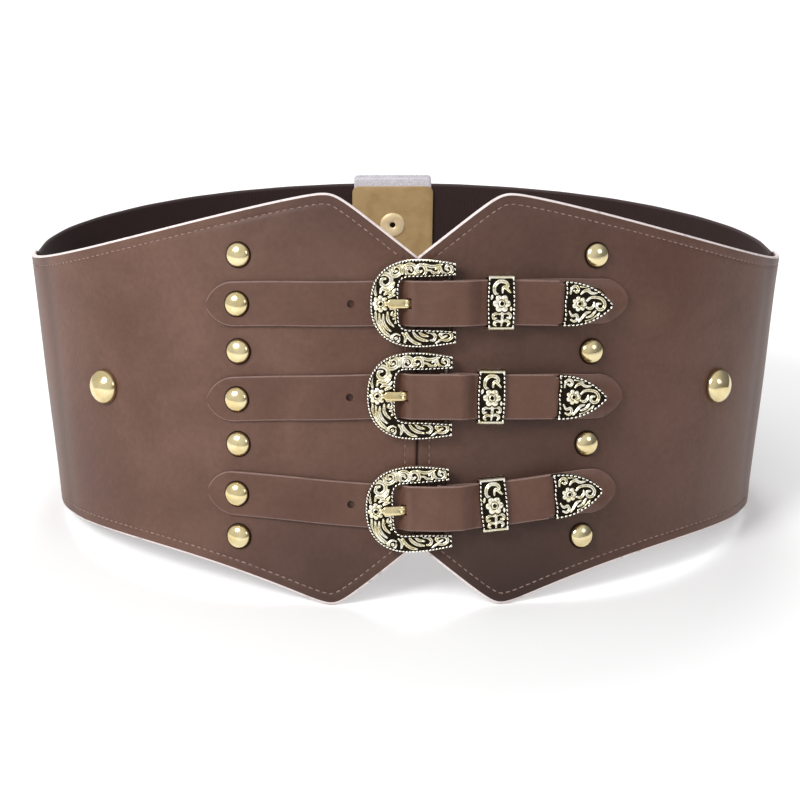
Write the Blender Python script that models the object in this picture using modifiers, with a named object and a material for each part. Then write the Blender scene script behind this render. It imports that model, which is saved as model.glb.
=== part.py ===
"""Wide waist belt: two leather front panels with three strap-and-buckle rows, and an elastic back.

Metres, +Z up. The wearer's front looks along -Y. The belt stands on its two front tips and on
the bottom edge of its back band. The origin is on the floor, below the middle of the belt.

Leather pieces are laid out flat first, as a pattern: s runs round the belt from the front
centre (+ to the right in front view), v runs up from the middle line, and lift is the height
above the outer face of the panels. wrap() puts a pattern point on the standing loop.
"""
import math

import bmesh
import bpy
import numpy as np
from mathutils import Matrix, Vector

for old in list(bpy.data.objects):
    bpy.data.objects.remove(old, do_unlink=True)

# Form of the loop at the middle line
HALF_WIDTH = 0.1690
FRONT_DEPTH = 0.110
BACK_DEPTH = 0.128
SIDE_FLARE = 0.098              # growth of the half width for each metre of height
FRONT_LEAN = math.radians(15.5)  # the front panels lean back by this angle
FRONT_RISE = 0.0283             # the front's middle line lies this much above the back's
RISE_FADE = (17.0, 97.0)        # degrees from the front centre between which the rise fades
LEAN_FADE = (60.0, 130.0)

# Leather panels
PANEL_THICK = 0.0022
PANEL_SEAM_GAP = 0.0008
PANEL_LENGTH = 0.2265           # front seam to side seam
PANEL_PEAK_OUT = 0.0345         # top peak, from the front seam
PANEL_TIP_OUT = 0.0368          # bottom tip, from the front seam
PANEL_PEAK_HALF = 0.0864
PANEL_TIP_HALF = 0.0876
PANEL_NOTCH_HALF = 0.0582       # height of the V notches' points at the front seam
PANEL_SIDE_TOP = 0.0538
PANEL_SIDE_BOTTOM = 0.0550
TOP_EDGE_BOW = 1.8              # how quickly the edge falls away from the peak
BOTTOM_EDGE_BOW = 2.1
PEAK_ROUND = 0.0030
CORNER_ROUND = 0.0050

# Elastic back band
BAND_THICK = 0.0016
BAND_TOP_HALF = 0.0566
BAND_SEAM_LAP = 0.009           # the band lies behind the panel's end this far
CLASP_PLATE_WIDTH = 0.042
CLASP_PLATE_HEIGHT = 0.1110
CLASP_PLATE_THICK = 0.0012
CLASP_RAISE = 0.0003             # the plates stand this much above the band's middle height
CLASP_ASIDE = 0.0032             # and this far to the left of the back centre
CLASP_LAP = 0.0135              # the band reaches this far between the clasp's plates
CLASP_STUD_RADIUS = 0.0058
CLASP_STUD_DROP = 0.0205        # from the plate's top or bottom edge to the stud

# Straps
STRAP_WIDTH = 0.0190
STRAP_THICK = 0.0016
STRAP_END_ROUND = 0.0121        # length of the rounded end
STRAP_END_POINT = 0.70          # 0.5 makes it an ellipse, more draws it to a point
STRAP_END_BLUNT = 0.10          # share of the width left at the very end
STRAP_EXTRA_HOLE = 0.0030
EXTRA_HOLE_OUT = 0.0068         # from the bow's outer edge to the strap's spare hole
CLEARANCE = 0.0003              # between pieces that touch
FOLD_RETURN = 0.0046            # the folded end of the buckle strap lies back this far
SLOT_SIDE_PLAY = 0.0004
UNDER_BOW_RISE = 0.0002          # the strap lifts off the panel this much below the bow

# Buckle frame, keeper, tip and prong
BUCKLE_LENGTH = 0.0358
BUCKLE_HEIGHT = 0.0367
BOW_WIDTH = 0.0118
ARM_END_WIDTH = 0.0051
OPENING_HALF = 0.0109           # half height of the frame's opening at the bow
OPENING_END_HALF = 0.0116
BOW_SQUARENESS = 2.35
OPENING_SQUARENESS = 5.0
FRAME_THICK = 0.0024
RIM_HEIGHT = 0.0006
RIM_WIDTH = 0.0011
BAR_RADIUS = 0.0011
BAR_FROM_END = 0.0024           # from the arms' ends to the bar's centre
PRONG_WIDTH = 0.0038
PRONG_THICK = 0.0014
PRONG_OVER_BOW = 0.0050         # the prong's end lies this far over the bow
# The prong's middle line: distance from the bow's inner edge, share of its height on the bow
PRONG_BEND = ((0.0156, 0.36), (0.0088, -0.10), (0.0065, 0.07), (0.0047, 0.54), (0.0027, 0.91),
              (0.0004, 1.0))
KEEPER_LENGTH = 0.0118
KEEPER_SIDE_WALL = 0.0012
KEEPER_BACK_WALL = 0.0006
KEEPER_FRONT_WALL = 0.0012
TIP_LENGTH = 0.0212
TIP_WALL = 0.0006
TIP_FRONT_WALL = 0.0009
TIP_SPRING = 2.4                # more keeps the tip square for longer
TIP_DRAW = 0.95                 # less makes its end fuller
TIP_POINT = 0.08                # width of the tip's blunted point, as a share of the strap's
TIP_GRIP = 0.0070               # the strap's end reaches this far into the tip
PRONG_SLOT = (0.0033, 0.0069)   # the strap's slot for the prong, from the bow's inner edge
STRAP_RISE = (0.0015, 0.0074)   # the strap climbs through the frame here, from the same edge

# Rivets and studs: radius, dome height
RIVET_RADIUS = 0.0052
RIVET_DOME = 0.0030
RIVET_SHANK = 0.0014
STUD_RADIUS = 0.0077
STUD_DOME = 0.0058
STUD_SHANK = 0.0018
RIVET_BACK_RADIUS = 0.0042
RIVET_BACK_THICK = 0.0008
RIVET_COLUMN = 0.0750           # the right column's distance from the front seam
LEFT_COLUMN = 0.0768            # the left column's, at mid height
LEFT_COLUMN_SLANT = 0.050       # how much it runs out for each metre down
STUD_OUT = 0.1455
STUD_UP = 0.0019
STUD_CONE = 0.55                # 0 is a round dome, 1 a plain cone

# Raised ornament of the castings: flower radii, scroll radii and the scroll line's radius
FLOWER_HEIGHT = 0.0007
SCROLL_LINE = 0.00042
BOW_FLOWER = 0.0026
BOW_SCROLL = 0.0024
ARM_SCROLL = 0.0021
KEEPER_FLOWER = 0.0024
KEEPER_SCROLL = 0.0021
TIP_FLOWER = 0.0026
TIP_SCROLL = 0.0019

# One row for each strap, top to bottom. Heights v are at the left rivet, buckle, keeper, tip
# and right rivet; buckle_s, keeper_s and tip_s are the middles of those pieces.
STRAP_ROWS = (
    {"row": 1, "left_v": 0.0387, "buckle_s": -0.0026, "buckle_v": 0.0418, "turn": 0.5,
     "keeper_s": 0.0333, "keeper_v": 0.0416, "tip_s": 0.0690, "tip_v": 0.0392,
     "right_s": 0.0742, "right_v": 0.0399},
    {"row": 2, "left_v": -0.0018, "buckle_s": -0.0036, "buckle_v": 0.0029, "turn": 0.0,
     "keeper_s": 0.0303, "keeper_v": 0.0019, "tip_s": 0.0684, "tip_v": -0.0001,
     "right_s": 0.0743, "right_v": -0.0008},
    {"row": 3, "left_v": -0.0424, "buckle_s": -0.0038, "buckle_v": -0.0444, "turn": 3.0,
     "keeper_s": 0.0325, "keeper_v": -0.0441, "tip_s": 0.0687, "tip_v": -0.0411,
     "right_s": 0.0742, "right_v": -0.0416},
)

# Heights of the loose rivets in a column: the first and last stand between the outer straps
# and the panel's highest and lowest points, at these shares of the way.
RIVET_TOP_SHARE = 0.432
RIVET_BOTTOM_SHARE = 0.414
TOP_STRAP_V = STRAP_ROWS[0]["left_v"]
BOTTOM_STRAP_V = STRAP_ROWS[-1]["left_v"]
RIVET_HEIGHTS = {"a": TOP_STRAP_V + RIVET_TOP_SHARE * (PANEL_PEAK_HALF - TOP_STRAP_V), "c": 0.0184,
                 "e": -0.0212, "g": BOTTOM_STRAP_V - RIVET_BOTTOM_SHARE * (PANEL_TIP_HALF + BOTTOM_STRAP_V)}

HOLE_STRAP_TAIL = 0.0137        # from a strap's rivet to its rounded end
BUCKLE_STRAP_TAIL = 0.0155

# Heights above the panel of the straps' middle surfaces, built up layer by layer
FLAT_LIFT = CLEARANCE + STRAP_THICK / 2
KEEPER_LIFT = 2 * CLEARANCE + KEEPER_BACK_WALL + STRAP_THICK / 2
FOLD_RADIUS = BAR_RADIUS + CLEARANCE + STRAP_THICK / 2
BAR_LIFT = KEEPER_LIFT + FOLD_RADIUS
OVER_FOLD_LIFT = BAR_LIFT + FOLD_RADIUS + STRAP_THICK + CLEARANCE
OVER_KEEPER_LIFT = KEEPER_LIFT + STRAP_THICK + CLEARANCE
RIVET_ON_STRAP = CLEARANCE + STRAP_THICK
TIP_END_LIFT = RIVET_ON_STRAP + RIVET_DOME + 6 * CLEARANCE + TIP_WALL + STRAP_THICK / 2
BAR_X = BUCKLE_LENGTH / 2 - BAR_FROM_END
BOW_INNER_X = -BUCKLE_LENGTH / 2 + BOW_WIDTH

belt = bpy.data.objects.new("belt_frame", None)
bpy.context.scene.collection.objects.link(belt)
parts = bpy.data.collections.new("wide_belt")
cutters = bpy.data.collections.new("cutters")
bpy.context.scene.collection.children.link(parts)
bpy.context.scene.collection.children.link(cutters)


def finish(name, colour, roughness, metallic):
    """A plain material."""
    material = bpy.data.materials.new(name)
    material.use_nodes = True
    shader = material.node_tree.nodes["Principled BSDF"]
    shader.inputs["Base Color"].default_value = (*colour, 1.0)
    shader.inputs["Roughness"].default_value = roughness
    shader.inputs["Metallic"].default_value = metallic
    material.diffuse_color = (*colour, 1.0)
    return material


PANEL_LEATHER = finish("panel_leather", (0.150, 0.085, 0.062), 0.45, 0.0)
STRAP_LEATHER = finish("strap_leather", (0.135, 0.072, 0.053), 0.42, 0.0)
ELASTIC = finish("elastic", (0.030, 0.017, 0.015), 0.85, 0.0)
CAST_GOLD = finish("antique_gold", (0.62, 0.55, 0.36), 0.35, 1.0)
POLISHED_GOLD = finish("polished_gold", (0.80, 0.64, 0.36), 0.18, 1.0)
CLASP_GOLD = finish("clasp_gold", (0.56, 0.42, 0.22), 0.38, 1.0)


def quarter_lengths(depth, steps=400):
    """Angles of a quarter ellipse from its end on the Y axis, and the arc length to each."""
    angle = np.linspace(0.0, math.pi / 2, steps)
    speed = np.hypot(HALF_WIDTH * np.cos(angle), depth * np.sin(angle))
    length = np.concatenate([[0.0], np.cumsum((speed[1:] + speed[:-1]) / 2 * np.diff(angle))])
    return angle, length


FRONT_ANGLE, FRONT_ARC = quarter_lengths(FRONT_DEPTH)
BACK_ANGLE, BACK_ARC = quarter_lengths(BACK_DEPTH)
HALF_ROUND = float(FRONT_ARC[-1] + BACK_ARC[-1])    # front centre to back centre


def angle_at(s):
    """Angle round the loop, from the front centre."""
    along = abs(s)
    if along <= FRONT_ARC[-1]:
        angle = float(np.interp(along, FRONT_ARC, FRONT_ANGLE))
    else:
        angle = math.pi - float(np.interp(HALF_ROUND - along, BACK_ARC, BACK_ANGLE))
    return math.copysign(angle, s)


def fade(angle, fade_range):
    """1 at the front, 0 at the back, smooth between the two angles in degrees."""
    full, gone = fade_range
    share = min(max((math.degrees(abs(angle)) - full) / (gone - full), 0.0), 1.0)
    return 1.0 - share * share * (3.0 - 2.0 * share)


def on_loop(s, v):
    angle = angle_at(s)
    depth = FRONT_DEPTH if abs(angle) <= math.pi / 2 else BACK_DEPTH
    lean = FRONT_LEAN * fade(angle, LEAN_FADE)
    x = (HALF_WIDTH + SIDE_FLARE * v) * math.sin(angle)
    y = -depth * math.cos(angle) + v * math.sin(lean)
    z = v * math.cos(lean) + FRONT_RISE * fade(angle, RISE_FADE)
    return Vector((x, y, z))


def directions(s, v):
    """Unit vectors along the belt, up its face and out of it."""
    step = 0.0002
    along = (on_loop(s + step, v) - on_loop(s - step, v)).normalized()
    up = on_loop(s, v + step) - on_loop(s, v - step)
    out = along.cross(up).normalized()
    return along, out.cross(along), out


def wrap(s, v, lift=0.0):
    return on_loop(s, v) + directions(s, v)[2] * lift


def frame_matrix(origin, along, out):
    """Local axes: x along the belt, y up its face, z out of it."""
    along = along.normalized()
    out = (out - along * out.dot(along)).normalized()
    axes = Matrix((along, out.cross(along), out)).transposed()
    return Matrix.Translation(origin) @ axes.to_4x4()


def place_matrix(s, v, lift=0.0, turn=0.0):
    along, _, out = directions(s, v)
    return frame_matrix(wrap(s, v, lift), along, out) @ Matrix.Rotation(math.radians(turn), 4, "Z")


def add_object(name, mesh, material, matrix=None, smooth=30.0, collection=None):
    obj = bpy.data.objects.new(name, mesh)
    (collection or parts).objects.link(obj)
    obj.parent = belt
    if matrix is not None:
        obj.matrix_local = matrix
    if material:
        mesh.materials.clear()
        mesh.materials.append(material)
    if smooth:
        mesh.shade_smooth()
        mesh.set_sharp_from_angle(angle=math.radians(smooth))
    return obj


def mesh_from(bm, name):
    mesh = bpy.data.meshes.new(name)
    bm.to_mesh(mesh)
    bm.free()
    return mesh


def baked(obj, name):
    """The evaluated mesh of a helper object, welded. The helper is removed."""
    depsgraph = bpy.context.evaluated_depsgraph_get()
    mesh = bpy.data.meshes.new_from_object(obj.evaluated_get(depsgraph))
    mesh.name = name
    bm = bmesh.new()
    bm.from_mesh(mesh)
    bmesh.ops.remove_doubles(bm, verts=bm.verts, dist=1e-6)
    bm.to_mesh(mesh)
    bm.free()
    bpy.data.objects.remove(obj, do_unlink=True)
    return mesh


def sheet(name, columns, rows, place, thickness, material, offset=-1.0, shares=None):
    """A grid laid on place(share along, share across) and given its thickness by Solidify."""
    bm = bmesh.new()
    bmesh.ops.create_grid(bm, x_segments=columns, y_segments=rows, size=0.5)
    for vert in bm.verts:
        share = vert.co.x + 0.5
        if shares is not None:
            share = float(np.interp(share, np.linspace(0.0, 1.0, len(shares)), shares))
        vert.co = place(share, vert.co.y + 0.5)
    obj = add_object(name, mesh_from(bm, name), material)
    wall = obj.modifiers.new("wall", "SOLIDIFY")
    wall.thickness = thickness
    wall.offset = offset
    wall.use_even_offset = True
    return obj


def hide_cutter(obj):
    obj.hide_render = True
    obj.display_type = "WIRE"
    return obj


def cut(obj, name, add_shapes):
    """Cuts away all that add_shapes(bm) builds, in the belt's coordinates."""
    bm = bmesh.new()
    add_shapes(bm)
    cutter = hide_cutter(add_object(name, mesh_from(bm, name), None, smooth=None, collection=cutters))
    boolean = obj.modifiers.new("cut", "BOOLEAN")
    boolean.operation = "DIFFERENCE"
    boolean.object = cutter
    return obj


def add_drill(bm, matrix, radius, reach=0.006, sides=8):
    bmesh.ops.create_cone(bm, cap_ends=True, segments=sides, radius1=radius, radius2=radius,
                          depth=2 * reach, matrix=matrix)


def add_box(bm, matrix, low, high):
    low = Vector(low)
    high = Vector(high)
    size = high - low
    centre = Matrix.Translation((low + high) / 2)
    bmesh.ops.create_cube(bm, size=1.0, matrix=matrix @ centre @ Matrix.Diagonal((*size, 1.0)))


def turned(name, profile, material, matrix, sides=9):
    """A profile of (radius, height), top to bottom, turned about the local Z axis."""
    bm = bmesh.new()
    verts = [bm.verts.new((radius, 0.0, height)) for radius, height in profile]
    for first, second in zip(verts, verts[1:]):
        bm.edges.new((first, second))
    obj = add_object(name, mesh_from(bm, name), material, matrix, smooth=None)
    screw = obj.modifiers.new("turn", "SCREW")
    screw.steps = sides
    screw.render_steps = sides
    screw.use_merge_vertices = True
    screw.merge_threshold = 0.00001
    screw.use_smooth_shade = True
    return obj


def dome_profile(radius, height, shank, grip, steps=3, cone=0.0):
    """A domed head at z >= 0, a shank through the grip, and a flat back cap. cone from 0 to 1
    turns the dome into a cone."""
    profile = []
    for step in range(steps + 1):
        angle = math.pi / 2 * step / steps
        level = (1.0 - cone) * math.cos(angle) + cone * (1.0 - step / steps)
        profile.append((radius * math.sin(angle), CLEARANCE + height * level))
    profile.append((shank, CLEARANCE))
    back = -grip - CLEARANCE
    profile.append((shank, back))
    profile.append((RIVET_BACK_RADIUS, back))
    profile.append((RIVET_BACK_RADIUS, back - RIVET_BACK_THICK))
    profile.append((0.0, back - RIVET_BACK_THICK))
    return profile


def round_corner(distance, radius):
    """How far a rounded corner pulls the edge in, at this distance from the corner."""
    if distance >= radius:
        return 0.0
    return radius - math.sqrt(max(radius ** 2 - (radius - distance) ** 2, 0.0))


def panel_edge(s, peak_out, peak_half, side_half, bow):
    """Height of a panel's top edge, or depth of its bottom edge, at s from the seam."""
    rise = (peak_half - PANEL_NOTCH_HALF) / peak_out
    notch_line = PANEL_NOTCH_HALF + rise * s
    share = min(max((s - peak_out) / (PANEL_LENGTH - peak_out), 0.0), 1.0)
    side_line = side_half + (peak_half - side_half) * (1.0 - share) ** bow
    fall = bow * (peak_half - side_half) / (PANEL_LENGTH - peak_out)
    if s < peak_out:
        side_line = peak_half + fall * (peak_out - s)
    gap = notch_line - side_line
    rounded = (notch_line + side_line - math.sqrt(gap * gap + 4 * PEAK_ROUND ** 2)) / 2
    return rounded + PEAK_ROUND - round_corner(PANEL_LENGTH - s, CORNER_ROUND)


def panel_place(share):
    """Distance from the front seam at this share of a panel."""
    start = PANEL_SEAM_GAP / 2
    return start + (PANEL_LENGTH - start) * share


def panel_bottom(s):
    return -panel_edge(s, PANEL_TIP_OUT, PANEL_TIP_HALF, PANEL_SIDE_BOTTOM, BOTTOM_EDGE_BOW)


def panel_point(side, share, up):
    s = panel_place(share)
    top = panel_edge(s, PANEL_PEAK_OUT, PANEL_PEAK_HALF, PANEL_SIDE_TOP, TOP_EDGE_BOW)
    bottom = panel_bottom(s)
    return wrap(side * s, bottom + (top - bottom) * up)


def panel_columns():
    """Shares along a panel: close together at the peak and at the rounded end corners."""
    near_peak = np.linspace(-3.0, 3.0, 7) * PEAK_ROUND
    corners = PANEL_LENGTH - CORNER_ROUND * (1.0 - np.sin(np.linspace(0.0, math.pi / 2, 4)))
    places = np.concatenate([
        np.linspace(PANEL_SEAM_GAP / 2, PANEL_PEAK_OUT - 3 * PEAK_ROUND, 4)[:-1],
        (PANEL_PEAK_OUT + PANEL_TIP_OUT) / 2 + near_peak,
        np.linspace(PANEL_TIP_OUT + 4 * PEAK_ROUND, PANEL_LENGTH - BAND_SEAM_LAP, 15),
        corners,
    ])
    start = PANEL_SEAM_GAP / 2
    return np.sort((places - start) / (PANEL_LENGTH - start))


def rivet_column(side, v):
    """Place s of a rivet at height v in a side's column."""
    return RIVET_COLUMN if side > 0 else LEFT_COLUMN_SLANT * v - LEFT_COLUMN


def along_row(row, s):
    """Height v of a hole strap's middle line: straight between rivet, buckle, keeper and tip."""
    places = (rivet_column(-1, row["left_v"]), row["buckle_s"] + BOW_INNER_X, row["buckle_s"] + BAR_X,
              row["keeper_s"], row["tip_s"])
    heights = (row["left_v"], row["buckle_v"], row["buckle_v"], row["keeper_v"], row["tip_v"])
    if s < places[0]:
        slope = (heights[1] - heights[0]) / (places[1] - places[0])
        return heights[0] + slope * (s - places[0])
    if s > places[-1]:
        slope = (heights[-1] - heights[-2]) / (places[-1] - places[-2])
        return heights[-1] + slope * (s - places[-1])
    return float(np.interp(s, places, heights))


def hole_strap_lift(row, s):
    """Lift of a hole strap's middle surface: flat, under the bow, over the fold, through the
    keeper, and up to the tip that rests on the rivet."""
    bow = row["buckle_s"] + BOW_INNER_X
    bar = row["buckle_s"] + BAR_X
    keeper_start = row["keeper_s"] - KEEPER_LENGTH / 2
    under_bow = FLAT_LIFT + UNDER_BOW_RISE
    places = (bow - BOW_WIDTH - STRAP_RISE[1], bow - BOW_WIDTH, bow + STRAP_RISE[0],
              bow + STRAP_RISE[1], bar - FOLD_RADIUS, bar + FOLD_RETURN + STRAP_THICK / 2,
              keeper_start - 2 * CLEARANCE, keeper_start + KEEPER_LENGTH + 2 * CLEARANCE,
              row["tip_s"] + TIP_LENGTH / 2)
    lifts = (FLAT_LIFT, under_bow, under_bow, OVER_FOLD_LIFT - STRAP_THICK,
             OVER_FOLD_LIFT, OVER_FOLD_LIFT, OVER_KEEPER_LIFT, OVER_KEEPER_LIFT, TIP_END_LIFT)
    index = int(np.searchsorted(places, s))
    if index == 0:
        return lifts[0]
    if index == len(places):
        return lifts[-1]
    share = (s - places[index - 1]) / (places[index] - places[index - 1])
    if index < len(places) - 1:
        share = share * share * (3.0 - 2.0 * share)
    return lifts[index - 1] + (lifts[index] - lifts[index - 1]) * share


def row_point(row, s, side_shift=0.0):
    return wrap(s, along_row(row, s) + side_shift, hole_strap_lift(row, s))


def row_matrix(row, s, reach):
    """Axes on the hole strap's middle surface, along the strap between s - reach and s + reach."""
    along = row_point(row, s + reach) - row_point(row, s - reach)
    middle = (row_point(row, s + reach) + row_point(row, s - reach)) / 2
    return frame_matrix(middle, along, directions(s, along_row(row, s))[2])


def buckle_matrix(row):
    """Buckle axes: origin at the frame's middle, with the bar at its place in the fold."""
    bar = wrap(row["buckle_s"] + BAR_X, row["buckle_v"], BAR_LIFT)
    along, _, out = directions(row["buckle_s"], row["buckle_v"])
    turn = Matrix.Rotation(math.radians(row["turn"]), 4, "Z")
    return frame_matrix(bar, along, out) @ turn @ Matrix.Translation((-BAR_X, 0.0, 0.0))


def rounded_end(distance):
    """Share of the full width at this distance from a strap's end."""
    if distance >= STRAP_END_ROUND:
        return 1.0
    share = max(1.0 - (1.0 - distance / STRAP_END_ROUND) ** 2, 0.0)
    return STRAP_END_BLUNT + (1.0 - STRAP_END_BLUNT) * share ** STRAP_END_POINT


def build_panels():
    for side, name in ((-1, "left"), (1, "right")):
        def place(share, up, side=side):
            return panel_point(side, share if side > 0 else 1.0 - share, up)

        columns = panel_columns()
        if side < 0:
            columns = 1.0 - columns[::-1]
        panel = sheet(f"front_panel_{name}", len(columns) - 1, 1, place, PANEL_THICK, PANEL_LEATHER,
                      shares=columns)

        def drills(bm, side=side):
            for height in RIVET_HEIGHTS.values():
                spot = place_matrix(rivet_column(side, height), height)
                add_drill(bm, spot, RIVET_SHANK + CLEARANCE)
            for row in STRAP_ROWS:
                s, v = strap_rivet_place(row, side)
                add_drill(bm, place_matrix(s, v), RIVET_SHANK + CLEARANCE)
            add_drill(bm, place_matrix(side * STUD_OUT, STUD_UP), STUD_SHANK + CLEARANCE)

        cut(panel, f"cut_panel_{name}", drills)


def strap_rivet_place(row, side):
    if side < 0:
        return rivet_column(side, row["left_v"]), row["left_v"]
    return row["right_s"], row["right_v"]


def build_band():
    outer = -PANEL_THICK - CLEARANCE
    start = PANEL_LENGTH - BAND_SEAM_LAP
    end = HALF_ROUND - CLASP_PLATE_WIDTH / 2 + CLASP_LAP
    edge = [panel_place(share) for share in panel_columns()]
    floor = min(wrap(s, panel_bottom(s), -PANEL_THICK).z for s in edge)
    for side, name in ((-1, "left"), (1, "right")):
        def place(share, up, side=side):
            s = start + (end - start) * (share if side > 0 else 1.0 - share)
            top = BAND_TOP_HALF
            return wrap(side * s, floor + (top - floor) * up, outer)

        sheet(f"back_band_{name}", 26, 1, place, BAND_THICK, ELASTIC)
    return floor


def build_rivets():
    for side, name in ((-1, "left"), (1, "right")):
        for letter, height in RIVET_HEIGHTS.items():
            profile = dome_profile(RIVET_RADIUS, RIVET_DOME, RIVET_SHANK, PANEL_THICK)
            turned(f"rivet_{name}_{letter}", profile, POLISHED_GOLD,
                   place_matrix(rivet_column(side, height), height))
        for row, letter in zip(STRAP_ROWS, "bdf"):
            s, v = strap_rivet_place(row, side)
            grip = PANEL_THICK + RIVET_ON_STRAP
            profile = dome_profile(RIVET_RADIUS, RIVET_DOME, RIVET_SHANK, grip)
            turned(f"rivet_{name}_{letter}", profile, POLISHED_GOLD,
                   place_matrix(s, v, RIVET_ON_STRAP))
        profile = dome_profile(STUD_RADIUS, STUD_DOME, STUD_SHANK, PANEL_THICK, cone=STUD_CONE)
        turned(f"side_stud_{name}", profile, POLISHED_GOLD,
               place_matrix(side * STUD_OUT, STUD_UP), sides=12)


def build_hole_strap(row):
    start = rivet_column(-1, row["left_v"]) - HOLE_STRAP_TAIL
    end = row["tip_s"] - TIP_LENGTH / 2 + TIP_GRIP
    buckle = row["buckle_s"]
    mouth = end - TIP_GRIP - 3 * CLEARANCE
    keeper_start = row["keeper_s"] - KEEPER_LENGTH / 2
    stations = np.unique(np.concatenate([
        start + STRAP_END_ROUND * (1.0 - np.cos(np.linspace(0.0, math.pi / 2, 6))),
        np.linspace(start + STRAP_END_ROUND, buckle - BUCKLE_LENGTH / 2 - STRAP_RISE[1], 6),
        (buckle + BOW_INNER_X - BOW_WIDTH,),
        np.linspace(buckle + BOW_INNER_X + STRAP_RISE[0], buckle + BOW_INNER_X + STRAP_RISE[1], 7),
        np.linspace(buckle + BAR_X - FOLD_RADIUS, keeper_start - 2 * CLEARANCE, 8),
        np.linspace(keeper_start, mouth - CLEARANCE, 5),
        (mouth, end),
    ]).round(6))
    shares = (stations - start) / (end - start)
    tongue = STRAP_WIDTH - 2 * (TIP_WALL + 2 * CLEARANCE)

    def place(share, across):
        s = start + (end - start) * share
        width = STRAP_WIDTH * rounded_end(s - start)
        if s > mouth - CLEARANCE / 2:
            width = tongue
        return row_point(row, s, width * (across - 0.5))

    strap = sheet(f"hole_strap_{row['row']}", len(stations) - 1, 1, place, STRAP_THICK,
                  STRAP_LEATHER, offset=0.0, shares=shares)

    def holes(bm):
        s, v = strap_rivet_place(row, -1)
        add_drill(bm, place_matrix(s, v), RIVET_SHANK + CLEARANCE)
        hole_s = buckle - BUCKLE_LENGTH / 2 - EXTRA_HOLE_OUT
        add_drill(bm, place_matrix(hole_s, along_row(row, hole_s)), STRAP_EXTRA_HOLE / 2)
        half = PRONG_WIDTH / 2 + SLOT_SIDE_PLAY
        low = (BOW_INNER_X + PRONG_SLOT[0], -half, -BAR_LIFT)
        high = (BOW_INNER_X + PRONG_SLOT[1], half, OVER_FOLD_LIFT)
        add_box(bm, buckle_matrix(row), low, high)

    cut(strap, f"cut_hole_strap_{row['row']}", holes)


def buckle_strap_path(row):
    """(s, lift) along the middle surface, from the riveted end, round the bar and back."""
    bar = row["buckle_s"] + BAR_X
    end = row["right_s"] + BUCKLE_STRAP_TAIL
    keeper_end = row["keeper_s"] + KEEPER_LENGTH / 2
    path = []
    for share in 1.0 - np.cos(np.linspace(0.0, math.pi / 2, 6)):
        path.append((end - STRAP_END_ROUND * share, FLAT_LIFT))
    for share in np.linspace(0.0, 1.0, 7)[1:]:
        smooth = share * share * (3.0 - 2.0 * share)
        path.append((end - STRAP_END_ROUND + (keeper_end - end + STRAP_END_ROUND) * share,
                     FLAT_LIFT + (KEEPER_LIFT - FLAT_LIFT) * smooth))
    for share in np.linspace(0.0, 1.0, 5)[1:]:
        path.append((keeper_end + (bar + FOLD_RETURN - keeper_end) * share, KEEPER_LIFT))
    for angle in np.linspace(0.0, math.pi, 9):
        path.append((bar - FOLD_RADIUS * math.sin(angle), BAR_LIFT - FOLD_RADIUS * math.cos(angle)))
    path.append((bar + FOLD_RETURN, BAR_LIFT + FOLD_RADIUS))
    return path


def build_buckle_strap(row):
    path = buckle_strap_path(row)
    bar = row["buckle_s"] + BAR_X
    end = row["right_s"] + BUCKLE_STRAP_TAIL

    def centre_height(s):
        return float(np.interp(s, (bar + FOLD_RETURN, row["keeper_s"], row["right_s"]),
                               (row["buckle_v"], row["keeper_v"], row["right_v"])))

    slant = math.tan(math.radians(row["turn"]))
    slant_range = (bar + FOLD_RETURN, row["keeper_s"] - KEEPER_LENGTH / 2)

    def place(share, across):
        s, lift = path[len(path) - 1 - round(share * (len(path) - 1))]
        y = STRAP_WIDTH * rounded_end(end - s) * (across - 0.5)
        slanted = s - y * slant * float(np.interp(s, slant_range, (1.0, 0.0)))
        return wrap(slanted, centre_height(s) + y, lift)

    strap = sheet(f"buckle_strap_{row['row']}", len(path) - 1, 1, place, STRAP_THICK,
                  STRAP_LEATHER, offset=0.0)

    def holes(bm):
        s, v = strap_rivet_place(row, 1)
        add_drill(bm, place_matrix(s, v), RIVET_SHANK + CLEARANCE)
        half = PRONG_WIDTH / 2 + SLOT_SIDE_PLAY
        reach = FOLD_RADIUS + PRONG_THICK
        add_box(bm, buckle_matrix(row), (BAR_X - reach, -half, -reach), (BAR_X + reach, half, reach))

    cut(strap, f"cut_buckle_strap_{row['row']}", holes)


def squared_round(angle, squareness):
    """A point on a unit superellipse: 2 is a circle, more is squarer."""
    cosine = math.copysign(abs(math.cos(angle)) ** (2 / squareness), math.cos(angle))
    sine = math.copysign(abs(math.sin(angle)) ** (2 / squareness), math.sin(angle))
    return cosine, sine


ARM_SHARE = 0.22                # each straight arm's share of the frame's way round
BOW_START = 0.002               # the bow starts bending this far right of the frame's middle


def frame_station(share):
    """Outer and inner points of the C-shaped frame. share runs from the upper arm's end (0)
    round the bow to the lower arm's end (1)."""
    half_length = BUCKLE_LENGTH / 2
    half_height = BUCKLE_HEIGHT / 2
    if share < ARM_SHARE or share > 1.0 - ARM_SHARE:
        along = min(share, 1.0 - share) / ARM_SHARE
        sign = 1.0 if share < 0.5 else -1.0
        x = half_length + (BOW_START - half_length) * along
        swell = math.sin(along * math.pi / 2)
        outer_end = OPENING_END_HALF + ARM_END_WIDTH
        outer = (x, sign * (outer_end + (half_height - outer_end) * swell))
        inner = (x, sign * (OPENING_END_HALF + (OPENING_HALF - OPENING_END_HALF) * swell))
        return outer, inner
    angle = math.pi / 2 + math.pi * (share - ARM_SHARE) / (1.0 - 2 * ARM_SHARE)
    outer = squared_round(angle, BOW_SQUARENESS)
    inner = squared_round(angle, OPENING_SQUARENESS)
    outer = (BOW_START + (half_length + BOW_START) * outer[0], half_height * outer[1])
    inner = (BOW_START + (BOW_START - BOW_INNER_X) * inner[0], OPENING_HALF * inner[1])
    return outer, inner


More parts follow.
